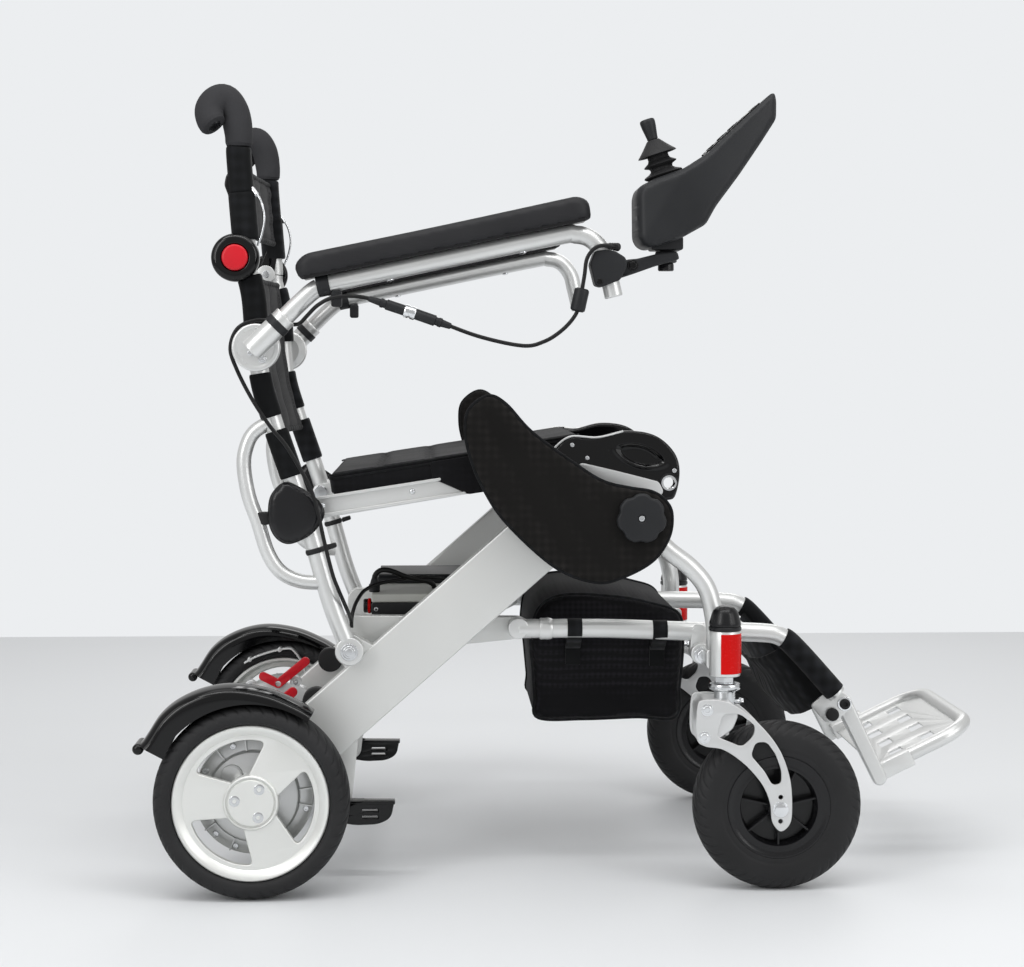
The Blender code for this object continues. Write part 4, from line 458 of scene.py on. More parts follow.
softLights = {  # name: place, aim, width, height, watts
    "overhead": ((-.1, -.5, 2.3), (0, 0, .4), 2.6, 2.2, 17),
    "leftFront": ((-2.0, -2.0, 1.5), (0, 0, .45), 1.6, 1.8, 14),
    "rightFront": ((2.2, -1.6, 1.3), (0, 0, .45), 1.4, 1.8, 11),
    "rear": ((.4, 2.2, 1.9), (0, 0, .5), 2.0, 1.2, 13),
    "topStrip": ((-.1, -.9, 2.0), (-.05, 0, .35), 2.4, .1, 9),
    "frontStrip": ((1.5, -1.9, 1.2), (0, 0, .4), .1, 1.8, 5),
    "backStrip": ((-1.5, -1.7, 1.3), (-.2, 0, .4), .1, 1.8, 5),
}
for lightName, (place, aim, width, height, watts) in softLights.items():
    lightData = bpy.data.lights.new(lightName, "AREA")
    lightData.shape, lightData.size, lightData.size_y, lightData.energy = "RECTANGLE", width, height, watts
    light = addObject(lightName, lightData)
    light.location = place
    light.rotation_euler = (Vector(aim) - Vector(place)).to_track_quat("-Z", "Y").to_euler()

world = bpy.data.worlds.new("studio")
bpy.context.scene.world = world
world.use_nodes = True
sky = world.node_tree
seen = addNode(sky, "LightPath")
shown = maths(sky, "MAXIMUM", seen.outputs["Is Camera Ray"], seen.outputs["Is Transmission Ray"])
lit = sky.nodes["Background"]
lit.inputs["Color"].default_value = srgb("#ffffff")
lit.inputs["Strength"].default_value = .54
plain = addNode(sky, "Background", {"Color": srgb("#eceef0"), "Strength": 1.0})
mixed = addNode(sky, "MixShader", {0: shown, 1: lit.outputs[0], 2: plain.outputs[0]})
sky.links.new(mixed.outputs[0], sky.nodes["World Output"].inputs["Surface"])

floorMesh = meshFrom([(-9, -6, 0), (9, -6, 0), (9, 1.97, 0), (-9, 1.97, 0)], [[0, 1, 2, 3]])
floor = addObject("floor", floorMesh)
floorMesh.materials.append(blankMaterial("pale_studio_floor", "#e4e6e8", .55)[0])
bpy.context.scene.view_settings.view_transform = "Standard"
print("camera, lights and floor ready")


# cables, all on the sitter's right
cables = {
    "radius": .0022,
    "arm": [(.043, -.274, .715), (.035, -.282, .716), (.019, -.285, .715), (.008, -.285, .703),
        (.0046, -.285, .6823), (-.0009, -.285, .6516), (-.0074, -.285, .6374), (-.0211, -.285, .6232),
        (-.0392, -.285, .6122), (-.0622, -.285, .6078), (-.1093, -.285, .6177), (-.1575, -.285, .6352),
        (-.1981, -.285, .6483), (-.235, -.285, .66), (-.265, -.285, .66), (-.283, -.284, .652),
        (-.296, -.276, .64), (-.303, -.264, .6335), (-.308, -.25, .6315), (-.3108, -.2432, .6315)],
    "back": [(-.31105, -.2426, .6315), (-.313, -.238, .6315), (-.33, -.234, .634), (-.3535, -.234, .6365),
        (-.3745, -.234, .6275), (-.383, -.234, .606), (-.3765, -.234, .583), (-.36, -.234, .55),
        (-.34, -.234, .5193), (-.3229, -.234, .4982), (-.3074, -.234, .4726), (-.2963, -.234, .4515),
        (-.2885, -.234, .4271), (-.28, -.234, .388), (-.2715, -.2338, .354), (-.2655, -.23, .337),
        (-.261, -.219, .324), (-.258, -.205, .314), (-.256, -.19, .306), (-.2545, -.1765, .299),
        (-.2535, -.1675, .2925), (-.2535, -.1675, .286)],
    "tray": [(-.2535, -.1628, .286), (-.2535, -.1628, .2925), (-.2528, -.161, .3), (-.251, -.153, .307),
        (-.248, -.142, .314), (-.24, -.125, .324), (-.2255, -.105, .3295), (-.2067, -.09, .332),
        (-.1856, -.075, .334), (-.1642, -.06, .333), (-.148, -.05, .33), (-.1385, -.0435, .3255),
        (-.137, -.043, .3215), (-.137, -.043, .3197)],
}


def cablePiece(name, key, node, body):
    path = curvedPath(cables[key], .003)
    obj = finish(name, sweep(path, cables["radius"], 14), "cable", body, [node])
    return obj, path


armCable, armPath = cablePiece("joystick_cable_arm", "arm", "arm_cable", "arm_right")
cablePiece("joystick_cable_back", "back", "back_cable", "back")
trayCable, trayPath = cablePiece("joystick_cable_tray", "tray", "tray_cable", "tray")


def alongCable(name, path, start, end, profile, finishKey, body, around=24):
    # a turned sleeve on the cable: (share of its length, radius) points between two runs of the path in metres
    profile = np.asarray(profile, float)
    middles = atRuns(path, start + (end - start) * profile[:, 0])
    straight = middles[0] + (middles[-1] - middles[0]) * profile[:, :1]
    return finish(name, sweep(straight, profile[:, 1], around), finishKey, body)


ferrite = alongCable("ferrite_sleeve", armPath, .078, .104, [(0, .0026), (.01, .006), (.06, .0078), (.12, .0082),
    (.88, .0082), (.94, .0078), (.99, .006), (1, .0026)], "matt", "arm_right")
plugFront = alongCable("cable_plug_front", armPath, .258, .3, [(0, .0024), (.02, .0034), (.25, .0042), (.27, .0052),
    (.34, .0052), (.36, .0045), (.42, .0045), (.44, .006), (.97, .006), (.99, .0055), (1, .003)], "matt",
    "arm_right")
plugRing = alongCable("cable_plug_ring", armPath, .2985, .3115, [(0, .004), (.02, .0066), (.1, .0072), (.4, .0072),
    (.42, .0062), (.55, .0062), (.57, .0072), (.9, .0072), (.98, .0066), (1, .004)], "chrome", "arm_right")
plugRear = alongCable("cable_plug_rear", armPath, .311, .352, [(0, .003), (.01, .0058), (.5, .0058), (.52, .0046),
    (.58, .0046), (.6, .0052), (.66, .0052), (.68, .004), (.97, .0032), (1, .0024)], "matt", "arm_right")
strainRelief = alongCable("cable_strain_relief", armPath, 0.0, .02, [(0, .004), (.05, .0046), (.15, .0046),
    (.22, .0036), (.3, .0044), (.38, .0034), (.46, .0041), (.54, .0032), (.62, .0038), (.75, .003), (1, .0024)],
    "rubber", "arm_right")
print("cables ready")


dressed = set()  # CAD nodes that a piece replaces already


def put(name, meshes, finishKey, node, sharpAngle=38):
    # one piece made of several meshes, riding where its CAD node rides; a node's first piece replaces the node
    mesh = meshes[0] if len(meshes) == 1 else joined(meshes)
    replaced = [] if node in dressed else [node]
    dressed.add(node)
    return finish(name, mesh, finishKey, bodyOf[node], replaced, sharpAngle)


def along(centre, angle, radius):
    return (centre[0] + radius * cos(angle), centre[1] + radius * sin(angle))


def ngonBolt(xz, y, out, across, height, count=6, turn=0.0):
    # hexagon head or nut with chamfered corners, standing height out from y
    r = across / (2 * cos(pi / count))
    outline = [along(xz, 2 * pi * i / count + turn, r) for i in range(count)]
    return slab(outline, y, y + out * height, min(.0006, height * .2), rings=1)


# side beams
beam = {"angle": radians(41.3), "depth": .07, "length": .425, "tail": .034, "bossR": .026, "edge": .0022}


def beamPoint(run, across):
    a, (x, z) = beam["angle"], joint["rearAxle"]
    return (x + run * cos(a) - across * sin(a), z + run * sin(a) + across * cos(a))


def sideBeam(side, label):
    node = f"side_beam_{label}"
    half = beam["depth"] / 2
    boss = [along(joint["front"], a, beam["bossR"]) for a in np.linspace(radians(-70), radians(85), 14)]
    outline = [beamPoint(-beam["tail"], half), beamPoint(-beam["tail"], -half), beamPoint(beam["length"], -half),
        *boss, beamPoint(beam["length"], half)]
    outline = roundCorners(outline, [.006, .006, .01] + [.0001] * 14 + [.012])
    inner, outer = side * layer["beamIn"], side * layer["beamOut"]
    box = slab(outline, inner, outer, beam["edge"], rings=3)
    ear = slab(bar(beamPoint(.185, half - .012), joint["backPivot"], .0245, .0165), inner + side * .001,
        outer - side * .001, .0012)
    hanger = slab(bar((-.268, .0835), (-.258, .1585), .014, .012), inner + side * .0005, inner + side * .0065, .001)
    pin = disc(joint["backPivot"], side * .138, side * .2225, .006)
    put(f"side_beam_box_{label}", [box, ear, hanger, pin], "beam", node)
    washer = disc(joint["backPivot"], side * .2213, side * .2243, .0098, .0008)
    head = disc(joint["backPivot"], side * .224, side * .2273, .0074, .0012)
    socket = capScrew(joint["backPivot"], side * .2276, side, .0052, .002)
    put(f"back_pivot_bolt_{label}", [washer, head, socket], "steel", node)
    seam = slab(roundCorners([beamPoint(-beam["tail"] - .0022, half - .0018),
        beamPoint(-beam["tail"] - .0022, -half + .0018), beamPoint(-beam["tail"] + .004, -half + .0018),
        beamPoint(-beam["tail"] + .004, half - .0018)], .002), inner + side * .0018, outer - side * .0018, .0008)
    put(f"beam_end_cap_{label}", [seam], "matt", node)


def beamStop(side, label):  # rubber buffer on the beam's inner face
    put(f"beam_stop_{label}", [disc((-.2938, .2024), side * .16, side * .1765, .0158, .0022)], "rubber",
        f"side_beam_{label}")


# stand bar with its two slotted feet
stand = {"at": (-.268, .0835), "barR": .008, "footThick": .016, "reach": .202}


def standBar():
    x, z = stand["at"]
    low = z - .0195
    outline = roundCorners([(x - .0085, z + .009), (x - .004, low + .004), (x + .02, low), (x + .046, low + .001),
        (x + .06, low + .008), (x + .0635, low + .0262), (x + .02, low + .0272)],
        [.004, .004, .006, .012, .012, .003, .004])
    slots = [roundCorners([(x + .027, low + h), (x + .045, low + h), (x + .045, low + h + .003),
        (x + .027, low + h + .003)], .0012) for h in (.008, .0155)]
    pieces = [disc(stand["at"], -stand["reach"], stand["reach"], stand["barR"], .001)]
    for side in (-1, 1):
        outer = side * (stand["reach"] - .0015)
        pieces += [slab(outline, outer, outer - side * stand["footThick"], .0014, slots),
            slab(roundCorners([(x + .002, low + .025), (x + .0645, low + .024), (x + .0645, low + .0275),
            (x + .002, low + .0285)], .0012), outer + side * .0012, outer - side * (stand["footThick"] + .0012),
            .0008)]
    put("anti_tip_stand", pieces, "gloss", "stand_bar")


# geared motors
motorSet = {"screwRing": .06, "boltRing": .0745, "lidTurn": 134, "lidReach": .0335}


def motor(side, label):
    node = f"motor_{label}"
    x, z = joint["rearAxle"]
    centre, axis = (x, 0, z), (0, side, 0)
    case = revolve([(0, .2815), (.008, .2815), (.008, .25), (.02, .2495), (.0475, .249), (.0495, .2482),
        (.0505, .244), (.052, .2425), (.064, .242), (.0655, .2412), (.066, .2395), (.066, .1983), (.018, .1983)],
        centre, axis, 96)
    lidAt = along((x, z), radians(motorSet["lidTurn"]), motorSet["lidReach"])
    boss = disc(lidAt, side * .246, side * .2512, .0125, .0015)
    lid = disc(lidAt, side * .2508, side * .2518, .0105, .0005)
    ribs = []
    for a in np.radians([68, 8, 350, 246, 190, 128, 98, 215]):
        tip, foot = along((x, z), a, .0655), along((x, z), a, .052)
        ribs.append(slab(bar(tip, foot, .0008, .0008, 6), side * .24, side * .2465, .0003, rings=1))
    put(f"gear_case_{label}", [case, boss, lid, *ribs], "cast", node)
    screws = [capScrew(along((x, z), a, motorSet["screwRing"]), side * .2448, side, .0036, .003)
        for a in np.radians([112, 152, 54, -14, 32, 225, 250, 274, 200])]
    put(f"gear_case_screws_{label}", screws, "steel", node)
    inner = revolve([(0, .09), (.03, .09), (.04, .0935), (.0445, .1), (.0465, .124), (.047, .1275), (.0478, .128),
        (.0478, .1282)], centre, axis, 72)
    put(f"motor_can_{label}", [inner], "matt", node)
    flange = revolve([(.04, .1285), (.0655, .128), (.07, .129), (.0718, .1318), (.0722, .144), (.064, .146),
        (.056, .1475), (.0545, .156), (.0515, .161), (.0515, .1757), (0.0, .1757)], centre, axis, 96)
    ears, bolts = [], []
    for a in np.radians([22, 72, 118, 162, 205, 250, 295, 338]):
        spot = along((x, z), a, motorSet["boltRing"])
        ears.append(disc(spot, side * .129, side * .144, .0072, .001, 28))
        bolts.append(capScrew(spot, side * .1289, -side, .0044, .004))
    fins = [slab(roundCorners([along((x, z), a - .02, .05), along((x, z), a - .02, .07),
        along((x, z), a + .02, .07), along((x, z), a + .02, .05)], .0008), side * .143, side * .157, .0006, rings=1)
        for a in np.radians([40, 95, 140, 185, 230, 272, 316, 358])]
    neck = disc((x, z), side * .175, side * .199, .018, .0003)
    put(f"motor_flange_{label}", [flange, *ears, *fins, neck], "cast", node)
    put(f"motor_bolts_{label}", bolts, "steel", node)
    ring = revolve([(.048, .1277), (.0495, .127), (.0515, .1272), (.052, .1284)], centre, axis, 72)
    put(f"motor_copper_ring_{label}", [ring], "brass", node)


# red freewheel levers
lever = {"pivot": (-.3589, .1772), "y": .1285, "thick": .005, "width": .0114, "bore": .0037}


def clutchLever(side, label):
    x, z = lever["pivot"]
    outer, inner = side * lever["y"], side * (lever["y"] - lever["thick"])
    half = lever["width"] / 2
    long = bar((x, z), (x + .035, z + .0285), half, half)
    toe = bar((x, z), (x - .019, z + .0095), half, half)
    bore = [circle((x, z), lever["bore"], 20)]
    arm = slab(long, inner, outer, .001, bore)
    toePiece = slab(toe, inner + side * .0002, outer - side * .0002, .001, bore)
    put(f"freewheel_lever_{label}", [arm, toePiece], "red", f"clutch_lever_{label}")


# fenders: a rounded channel carried along the crown line
fender = {"width": .054, "wall": .003, "corner": .011, "clear": .0035, "outer": .2922}


def fenderPiece(side, label):
    node = f"fender_{label}"
    x, z = joint["rearAxle"]
    crown = curvedPath([(x + .069, z + .099), (x + .052, z + .109), (x + .02, z + .1225), (x - .018, z + .129),
        (x - .05, z + .1252), (x - .078, z + .1138), (x - .098, z + .098), (x - .112, z + .0775),
        (x - .117, z + .07), (x - .1215, z + .0655)], .003)
    share = np.linspace(0, 1, len(crown))[:, None]
    radius = np.hypot(crown[:, 0] - x, crown[:, 1] - z)
    # depth of the channel's side, from the crown down towards the wheel, shallow at both ends
    low = rearWheel["tyreR"] + fender["clear"]
    depth = np.clip(radius - low, .006, .03) + .004 * ramp((share[:, 0] - .85) / .15)
    s = np.linspace(-1, 1, 41)[None, :]
    half, corner = fender["width"] / 2, fender["corner"]
    mid = side * (fender["outer"] - half)
    arc = ramp((np.abs(s) - .55) / .3) * pi / 2  # the rounded corner, then the side wall
    flat = ramp(np.abs(s) / .55)
    wall = ramp((np.abs(s) - .85) / .15)
    shape = []
    for inset in (0.0, fender["wall"]):
        c = corner - inset
        across = flat * (half - corner) + c * np.sin(arc)
        fall = inset + c * (1 - np.cos(arc)) + wall * np.maximum(depth[:, None] - corner, .0005)
        fall = np.minimum(fall, depth[:, None]) + .0012 * flat ** 2
        radial = np.stack([(crown[:, 0] - x) / radius, (crown[:, 1] - z) / radius], 1)
        xz = crown[:, None, :] - radial[:, None, :] * fall[..., None]
        shape.append(spots(xz[..., 0], mid + np.sign(s) * across, xz[..., 1]))
    outer, inner = shape[0], shape[1][:, ::-1]
    loop = np.concatenate([outer, inner], 1)
    rows, columns = loop.shape[:2]
    middleColumn = columns // 2
    faces = gridFaces(rows, columns, loopColumns=True)
    for row in (0, rows - 1):
        faces += [[row * columns + k, row * columns + k + 1, row * columns + columns - 2 - k,
            row * columns + columns - 1 - k] for k in range(middleColumn - 1)]
    shell = solid(loop, faces)
    lip = sweep(spots(crown[-1, 0] - .0005, np.linspace(mid - half + .004, mid + half - .004, 21),
        crown[-1, 1] - .005), .0062, 24, .004)
    line = curvedPath([(-.4114, .1896), (-.397, .1975), (-.3824, .2027), (-.366, .207), (-.3509, .2089),
        (-.344, .204), (-.338, .196), (-.3318, .185), (-.33, .164)], .003)
    turn = np.gradient(line, axis=0)
    across = np.stack([-turn[:, 1], turn[:, 0]], 1) / np.linalg.norm(turn, axis=1)[:, None] * .0011
    stay = [slab(np.vstack([line + across, (line - across)[::-1]]).tolist(), side * .225, side * .2368, .0004,
        rings=1)]
    for at in ((-.404, .1945), (-.364, .2075)):
        stay.append(disc(at, side * .2236, side * .2372, .003, .0008, 24))
    put(f"{node}_shell", [shell, lip], "gloss", node, sharpAngle=50)
    put(f"{node}_stay", stay, "cast", node)


# rear wheels
rearWheel = {"tyreR": .108, "rimR": .0864, "half": .0275, "mid": .265, "grooves": 46, "grooveDepth": .0018,
    "windowTurn": 114, "windowOut": .0695, "windowIn": .0305}


def rearTyre(side, label):
    x, z = joint["rearAxle"]
    r, half, bead = rearWheel["tyreR"], rearWheel["half"], rearWheel["rimR"] + .0003
    flank = [(bead, half * .7), (bead + .0025, half * .93), (bead + .008, half), (r - .007, half * .93),
        (r - .0025, half * .72), (r - .0004, half * .4)]
    section = np.asarray(closedCurve([*flank, (r, 0.0), *mirrored(flank)[6:], (bead, 0.0)], 6))
    a = turns(552)[None, :]
    rho, across = section[:, :1], section[:, 1:]
    # slanted notches, cut where the shoulder is and fading out at the crown's middle and low on the side
    shoulder = ramp((np.abs(across) - half * .25) / (half * .25)) * ramp((rho - bead - .0085) / .004)
    phase = rearWheel["grooves"] * (a + np.abs(across) * 9.0 + (across > 0) * .07)
    notch = ramp((np.cos(phase) - .72) / .28) ** .6
    radius = rho - rearWheel["grooveDepth"] * notch * shoulder
    centreGroove = .0008 * ramp(1 - np.abs(np.abs(across) - half * .22) / .0012) * (rho > r - .003)
    radius = radius - centreGroove
    verts = spots(x + radius * np.cos(a), side * rearWheel["mid"] + across, z + radius * np.sin(a))
    tyre = solid(verts, gridFaces(len(section), 552, loopRows=True, loopColumns=True))
    put(f"rear_tyre_tread_{label}", [tyre], "tyre", f"rear_tyre_{label}", sharpAngle=60)


def rimWindow(middle):
    # straight sides towards the hub, an arc at the rim, its outer corners well rounded
    x, z = joint["rearAxle"]
    m = radians(middle)
    out, low = rearWheel["windowOut"], rearWheel["windowIn"]
    outer = [along((x, z), m + radians(a), out) for a in np.linspace(37.5, -37.5, 19)]
    inner = [along((x, z), m + radians(a), low) for a in (-20, -10, 0, 10, 20)]
    outline = outer + inner
    # the corner's arc needs room, so the arc points beside it are left out
    keep = [0, *range(3, 16), 18, *range(19, 24)]
    return roundCorners([outline[i] for i in keep], [.0088] + [.0002] * 13 + [.0088]
        + [.0015, .0002, .0002, .0002, .0015], 8)


def rearRim(side, label):
    node = f"rear_rim_{label}"
    x, z = joint["rearAxle"]
    centre, axis = (x, 0, z), (0, side, 0)
    windows = [rimWindow(rearWheel["windowTurn"] + turn) for turn in (0, 120, 240)]
    face = slab(circle((x, z), .0772, 144), side * .2728, side * .2816, .0016, windows, 3)
    ring = revolve([(.0742, .281), (.0752, .2822), (.0775, .2838), (.0805, .2862), (.083, .2876), (.0848, .288),
        (.086, .2872), (.0864, .2856), (.0864, .243), (.0858, .2421), (.083, .2421), (.0821, .243), (.0819, .266),
        (.08, .2705), (.077, .2728), (.0742, .2735)], centre, axis, 144, closed=True)
    hub = revolve([(.012, .252), (.024, .252), (.025, .26), (.029, .27), (.031, .274), (.031, .281), (.0302, .283),
        (.029, .2838), (.0278, .2834), (.0272, .2818), (.0264, .2816), (.0258, .283), (.0248, .284), (0.0, .2842)],
        centre, axis, 96)
    put(f"rear_rim_cast_{label}", [face, ring, hub], "rim", node)
    screws = []
    for a in np.radians([58, 172, 297]):
        spot = along((x, z), a, .0178)
        screws.append(turned([(0, .2836), (.002, .2836), (.0024, .2843), (.0052, .2846), (.006, .2842),
            (.0062, .2836)], spot, 0, side, 28))
    put(f"rear_hub_screws_{label}", screws, "steel", node)


for label, side in sides.items():
    sideBeam(side, label)
    beamStop(side, label)
    motor(side, label)
    clutchLever(side, label)
    fenderPiece(side, label)
    rearTyre(side, label)
    rearRim(side, label)
standBar()
print("chassis and rear wheels ready")


# more shape tools
def fieldOf(outline, spacing, holes=()):
    # the outline filled with triangles on an even grid, and how far each point lies from the nearest edge
    loops = [np.asarray(loop, float) for loop in (outline, *holes)]
    starts, ends = [], []
    for loop in loops:
        starts.append(loop)
        ends.append(np.roll(loop, -1, axis=0))
    a, b = np.concatenate(starts), np.concatenate(ends)
    low, high = loops[0].min(0), loops[0].max(0)
    gx, gz = np.meshgrid(np.arange(low[0], high[0], spacing), np.arange(low[1], high[1], spacing))
    grid = np.stack([gx.ravel() + (np.round((gz.ravel() - low[1]) / spacing) % 2) * spacing / 2, gz.ravel()], 1)

    def gap(points):
        span = b - a
        t = ramp(((points[:, None] - a) * span).sum(-1) / (span ** 2).sum(-1))
        return np.linalg.norm(points[:, None] - a - span * t[..., None], axis=-1).min(1)

    def inside(points):
        x, z = points[:, :1], points[:, 1:]
        crosses = (a[:, 1] > z) != (b[:, 1] > z)
        at = a[:, 0] + (z - a[:, 1]) / np.where(b[:, 1] == a[:, 1], 1, b[:, 1] - a[:, 1]) * (b[:, 0] - a[:, 0])
        return (crosses & (x < at)).sum(1) % 2 == 1

    grid = grid[inside(grid)]
    grid = grid[gap(grid) > spacing * .55]
    points, edges, start = [], [], 0
    for loop in loops:
        points.append(loop)
        edges += [(start + i, start + (i + 1) % len(loop)) for i in range(len(loop))]
        start += len(loop)
    points = np.concatenate([*points, grid])
    coords, _, faces, origins, _, _ = delaunay_2d_cdt([Vector(p) for p in points], edges, [], 0, 1e-7)
    coords = np.array([tuple(c) for c in coords])
    faces = [list(f) for f in faces]
    middles = np.array([coords[f].mean(0) for f in faces])
    faces = [f for f, keep in zip(faces, inside(middles)) if keep]
    rims, at, index = [], 0, {o: i for i, os in enumerate(origins) for o in os}
    for loop in loops:
        rims.append([index[at + i] for i in range(len(loop))])
        at += len(loop)
    return coords, faces, gap(coords), rims


def quarterRise(distance, edge):  # 0 at the edge, 1 past a quarter round of this radius
    d = ramp(distance / edge)
    return np.sqrt(1 - (1 - d) ** 2)


def pillow(outline, yLow, yHigh, edge, crown=0.0, reach=.02, spacing=.004, relief=None, back=True, holes=()):
    # a panel in the side plane whose faces swell from a rounded edge; relief(points) adds to the outer face.
    # yLow is the inner face and yHigh the outer one, whichever sign they have
    coords, faces, gap, rims = fieldOf(outline, spacing, holes)
    out = 1 if yHigh > yLow else -1
    swell = edge * (quarterRise(gap, edge) - 1) + crown * (1 - np.exp(-ramp(gap - edge) / reach))
    front = yHigh + out * (swell + (relief(coords, gap) if relief else 0))
    rear = yLow - out * (swell if back else edge * (quarterRise(gap, edge) - 1))
    count = len(coords)
    verts = np.vstack([lift(coords, front), lift(coords, rear)])
    allFaces = faces + [[count + v for v in f[::-1]] for f in faces]
    for rim in rims:
        allFaces += bandFaces(rim, count)
    return solid(verts, allFaces)


def loopSweep(path, radius, around=12):
    # a closed loop of tube through the points
    path = np.asarray(path, float)
    tangent = unit(np.roll(path, -1, axis=0) - np.roll(path, 1, axis=0))
    normal = unit(np.cross(tangent, [0.0, 1.0, 0.0]))
    ring = rings(normal, np.cross(tangent, normal), around)
    return solid(path[:, None] + ring * radius, gridFaces(len(path), around, True, True))


def evenLoop(outline, spacing):
    # a closed (x, z) outline in even steps
    p = np.vstack([outline, outline[:1]])
    length = runsOf(p)[-1]
    return atRuns(p, np.linspace(0, length, max(int(length / spacing), 8), endpoint=False)).tolist()


def arcBand(centre, radiusIn, radiusOut, low, high, start, end, steps=48):
    # part of an upright ring, from one angle to another about +Z, with softened rims
    e = min(.0006, (radiusOut - radiusIn) / 2)
    section = np.array([(radiusIn, low), (radiusOut - e, low), (radiusOut, low + e), (radiusOut, high - e),
        (radiusOut - e, high), (radiusIn, high)])
    a = np.linspace(start, end, steps)[:, None]
    verts = spots(centre[0] + section[:, 0] * np.cos(a), centre[1] + section[:, 0] * np.sin(a), section[:, 1])
    return solid(verts, gridFaces(steps, len(section), loopColumns=True) + endCaps(steps, len(section)))


# side guards: boards under brushed loop fabric, piped round the edge
guard = {"inner": .224, "outer": .2335, "edge": .003, "crown": .0016, "piping": .0019}


def sideGuard(side, label):
    node = f"side_guard_{label}"
    outline = evenLoop(closedCurve([(-.0986, .5526), (-.12, .537), (-.1235, .512), (-.1186, .4859), (-.1052, .4526),
        (-.0786, .4115), (-.0241, .3615), (.0214, .3437), (.0525, .3493), (.0869, .3682), (.1047, .3948),
        (.1076, .4208), (.0999, .4357), (.085, .4455), (.06, .4498), (.0315, .4568), (.0032, .4736),
        (-.0486, .5115), (-.0786, .5437)], 12), .003)
    panel = pillow(outline, side * guard["inner"], side * guard["outer"], guard["edge"], guard["crown"], .022,
        .0035, lambda p, gap: .0005 * np.sin(p[:, 0] * 160 + p[:, 1] * 90) * ramp(gap / .02))
    body = put(f"{node}_panel", [panel], "guard", node, sharpAngle=60)
    piping = loopSweep(lift(outline, side * (guard["outer"] - .003)), guard["piping"])
    put(f"{node}_piping", [piping], "webbing", node)
    stands = [disc(beamPoint(*at), side * .1983, side * .2245, .007, .0008) for at in ((.45, -.012), (.425, .02))]
    put(f"{node}_studs", stands, "steel", node)


# lobed hand knobs that clamp the guards
knob = {"radius": .028, "lobes": 7, "inner": .2343, "outer": .2433}


def guardKnob(side, label):
    node = f"guard_knob_{label}"
    a = turns(196)
    away = (a * knob["lobes"] / (2 * pi) + .5) % 1 - .5  # share of a lobe from the nearest notch
    lobed = knob["radius"] * (1 - .085 * np.exp(-(away / .2) ** 2))
    rows = [  # share of the radius, how much of the notches shows, height over the inner face
        (.86, 1, 0.0), (.97, 1, .0003), (.995, 1, .0012), (1.0, 1, .0026), (1.0, 1, .0056), (.985, 1, .007),
        (.955, .9, .008), (.91, .6, .0087), (.85, .2, .009), (.6, 0, .0091), (.19, 0, .0092),
        (.17, 0, .0088), (.165, 0, .0074), (0.0, 0, .0074)]
    x, z = joint["front"]
    shape = []
    for share, lobes, height in rows:
        r = share * (lobed * lobes + knob["radius"] * .97 * (1 - lobes))
        shape.append(spots(x + r * np.cos(a + .2), side * (knob["inner"] + height), z + r * np.sin(a + .2)))
    faces = gridFaces(len(rows), len(a), loopColumns=True) + [list(range(len(a)))[::-1]]
    head = solid(np.array(shape), faces)
    put(f"{node}_head", [head], "matt", node, sharpAngle=34)
    screw = disc((x, z), side * .2215, side * (knob["inner"] + .001), .005, .0005)
    tip = capScrew((x, z), side * (knob["inner"] + .0084), side, .0034, .0016)
    put(f"{node}_screw", [screw, tip], "steel", node)


# front legs: bent tube, caster barrel with dust cap and reflector, lug of the leg rest
frontLeg = {"tubeR": .0107, "barrel": (.166, .245), "barrelR": .0174, "low": .24, "high": .291,
    "path": [(.0727, .2105, .416), (.1018, .2105, .3817), (.1299, .2105, .3592), (.149, .2105, .3357),
    (.1575, .2125, .305), (.159, .2185, .275), (.159, .2205, .252)]}


def upright(profile, centre, around=48):  # (radius, height) points turned about +Z, closed at both ends
    return revolve(profile, (centre[0], centre[1], 0), (0, 0, 1), around)


def frontLegPiece(side, label):
    node = f"front_leg_{label}"
    bx, by = frontLeg["barrel"][0], side * frontLeg["barrel"][1]
    path = curvedPath([(x, side * y, z) for x, y, z in frontLeg["path"]], .003)
    tube = sweep(path, frontLeg["tubeR"], 40)
    eye = slab(bar(joint["front"], (.085, .401), .018, .0125), side * .2002, side * .2203, .0022, rings=3)
    r, low, high = frontLeg["barrelR"], frontLeg["low"], frontLeg["high"]
    barrel = upright([(.0135, low), (r - .0012, low), (r - .0004, low + .0004), (r, low + .0014), (r, high - .0014),
        (r - .0004, high - .0004), (r - .0012, high), (0.0, high)], (bx, by), 72)
    lug = slab(bar(joint["leg"], (.158, .2527), .012, .01), side * .1777, side * .1895, .0014)
    neck = slab(roundCorners([(.1465, .2463), (.17, .2428), (.17, .264), (.1465, .268)], .005), side * .188,
        side * .235, .002, rings=3)
    pin = disc(joint["leg"], side * .1532, side * .179, .005, .0008)
    weld = sweep([(.159, side * .2205, .27), (.159, side * .225, .26), (.16, side * .23, .252)],
        [.0095, .0112, .01], 28)
    put(f"{node}_frame", [tube, eye, barrel, lug, neck, pin, weld], "frame", node)
    cap = upright([(0.0, high - .0002), (.0165, high - .0002), (.018, high + .0002), (.0184, high + .0016),
        (.0184, high + .0036), (.0177, high + .0044), (.0171, high + .0048), (.0177, high + .0056),
        (.0179, high + .007), (.0175, high + .0098), (.0168, high + .012), (.0153, high + .0178),
        (.0135, high + .0222), (.0108, high + .0252), (.0072, high + .0271), (.0035, high + .028),
        (0.0, high + .0283)], (bx, by), 60)
    put(f"{node}_dust_cap", [cap], "hub", node)
    band = arcBand((bx, by), r - .0002, r + .0009, low + .0035, high - .003, radians(-112), radians(112))
    put(f"{node}_reflector", [band], "redBand", node)
    bolt = [disc(joint["front"], side * .2198, side * .2213, .0118, .0006),
        disc((.1475, .2567), side * .189, side * .1925, .0062, .001)]
    put(f"{node}_washers", bolt, "steel", node)


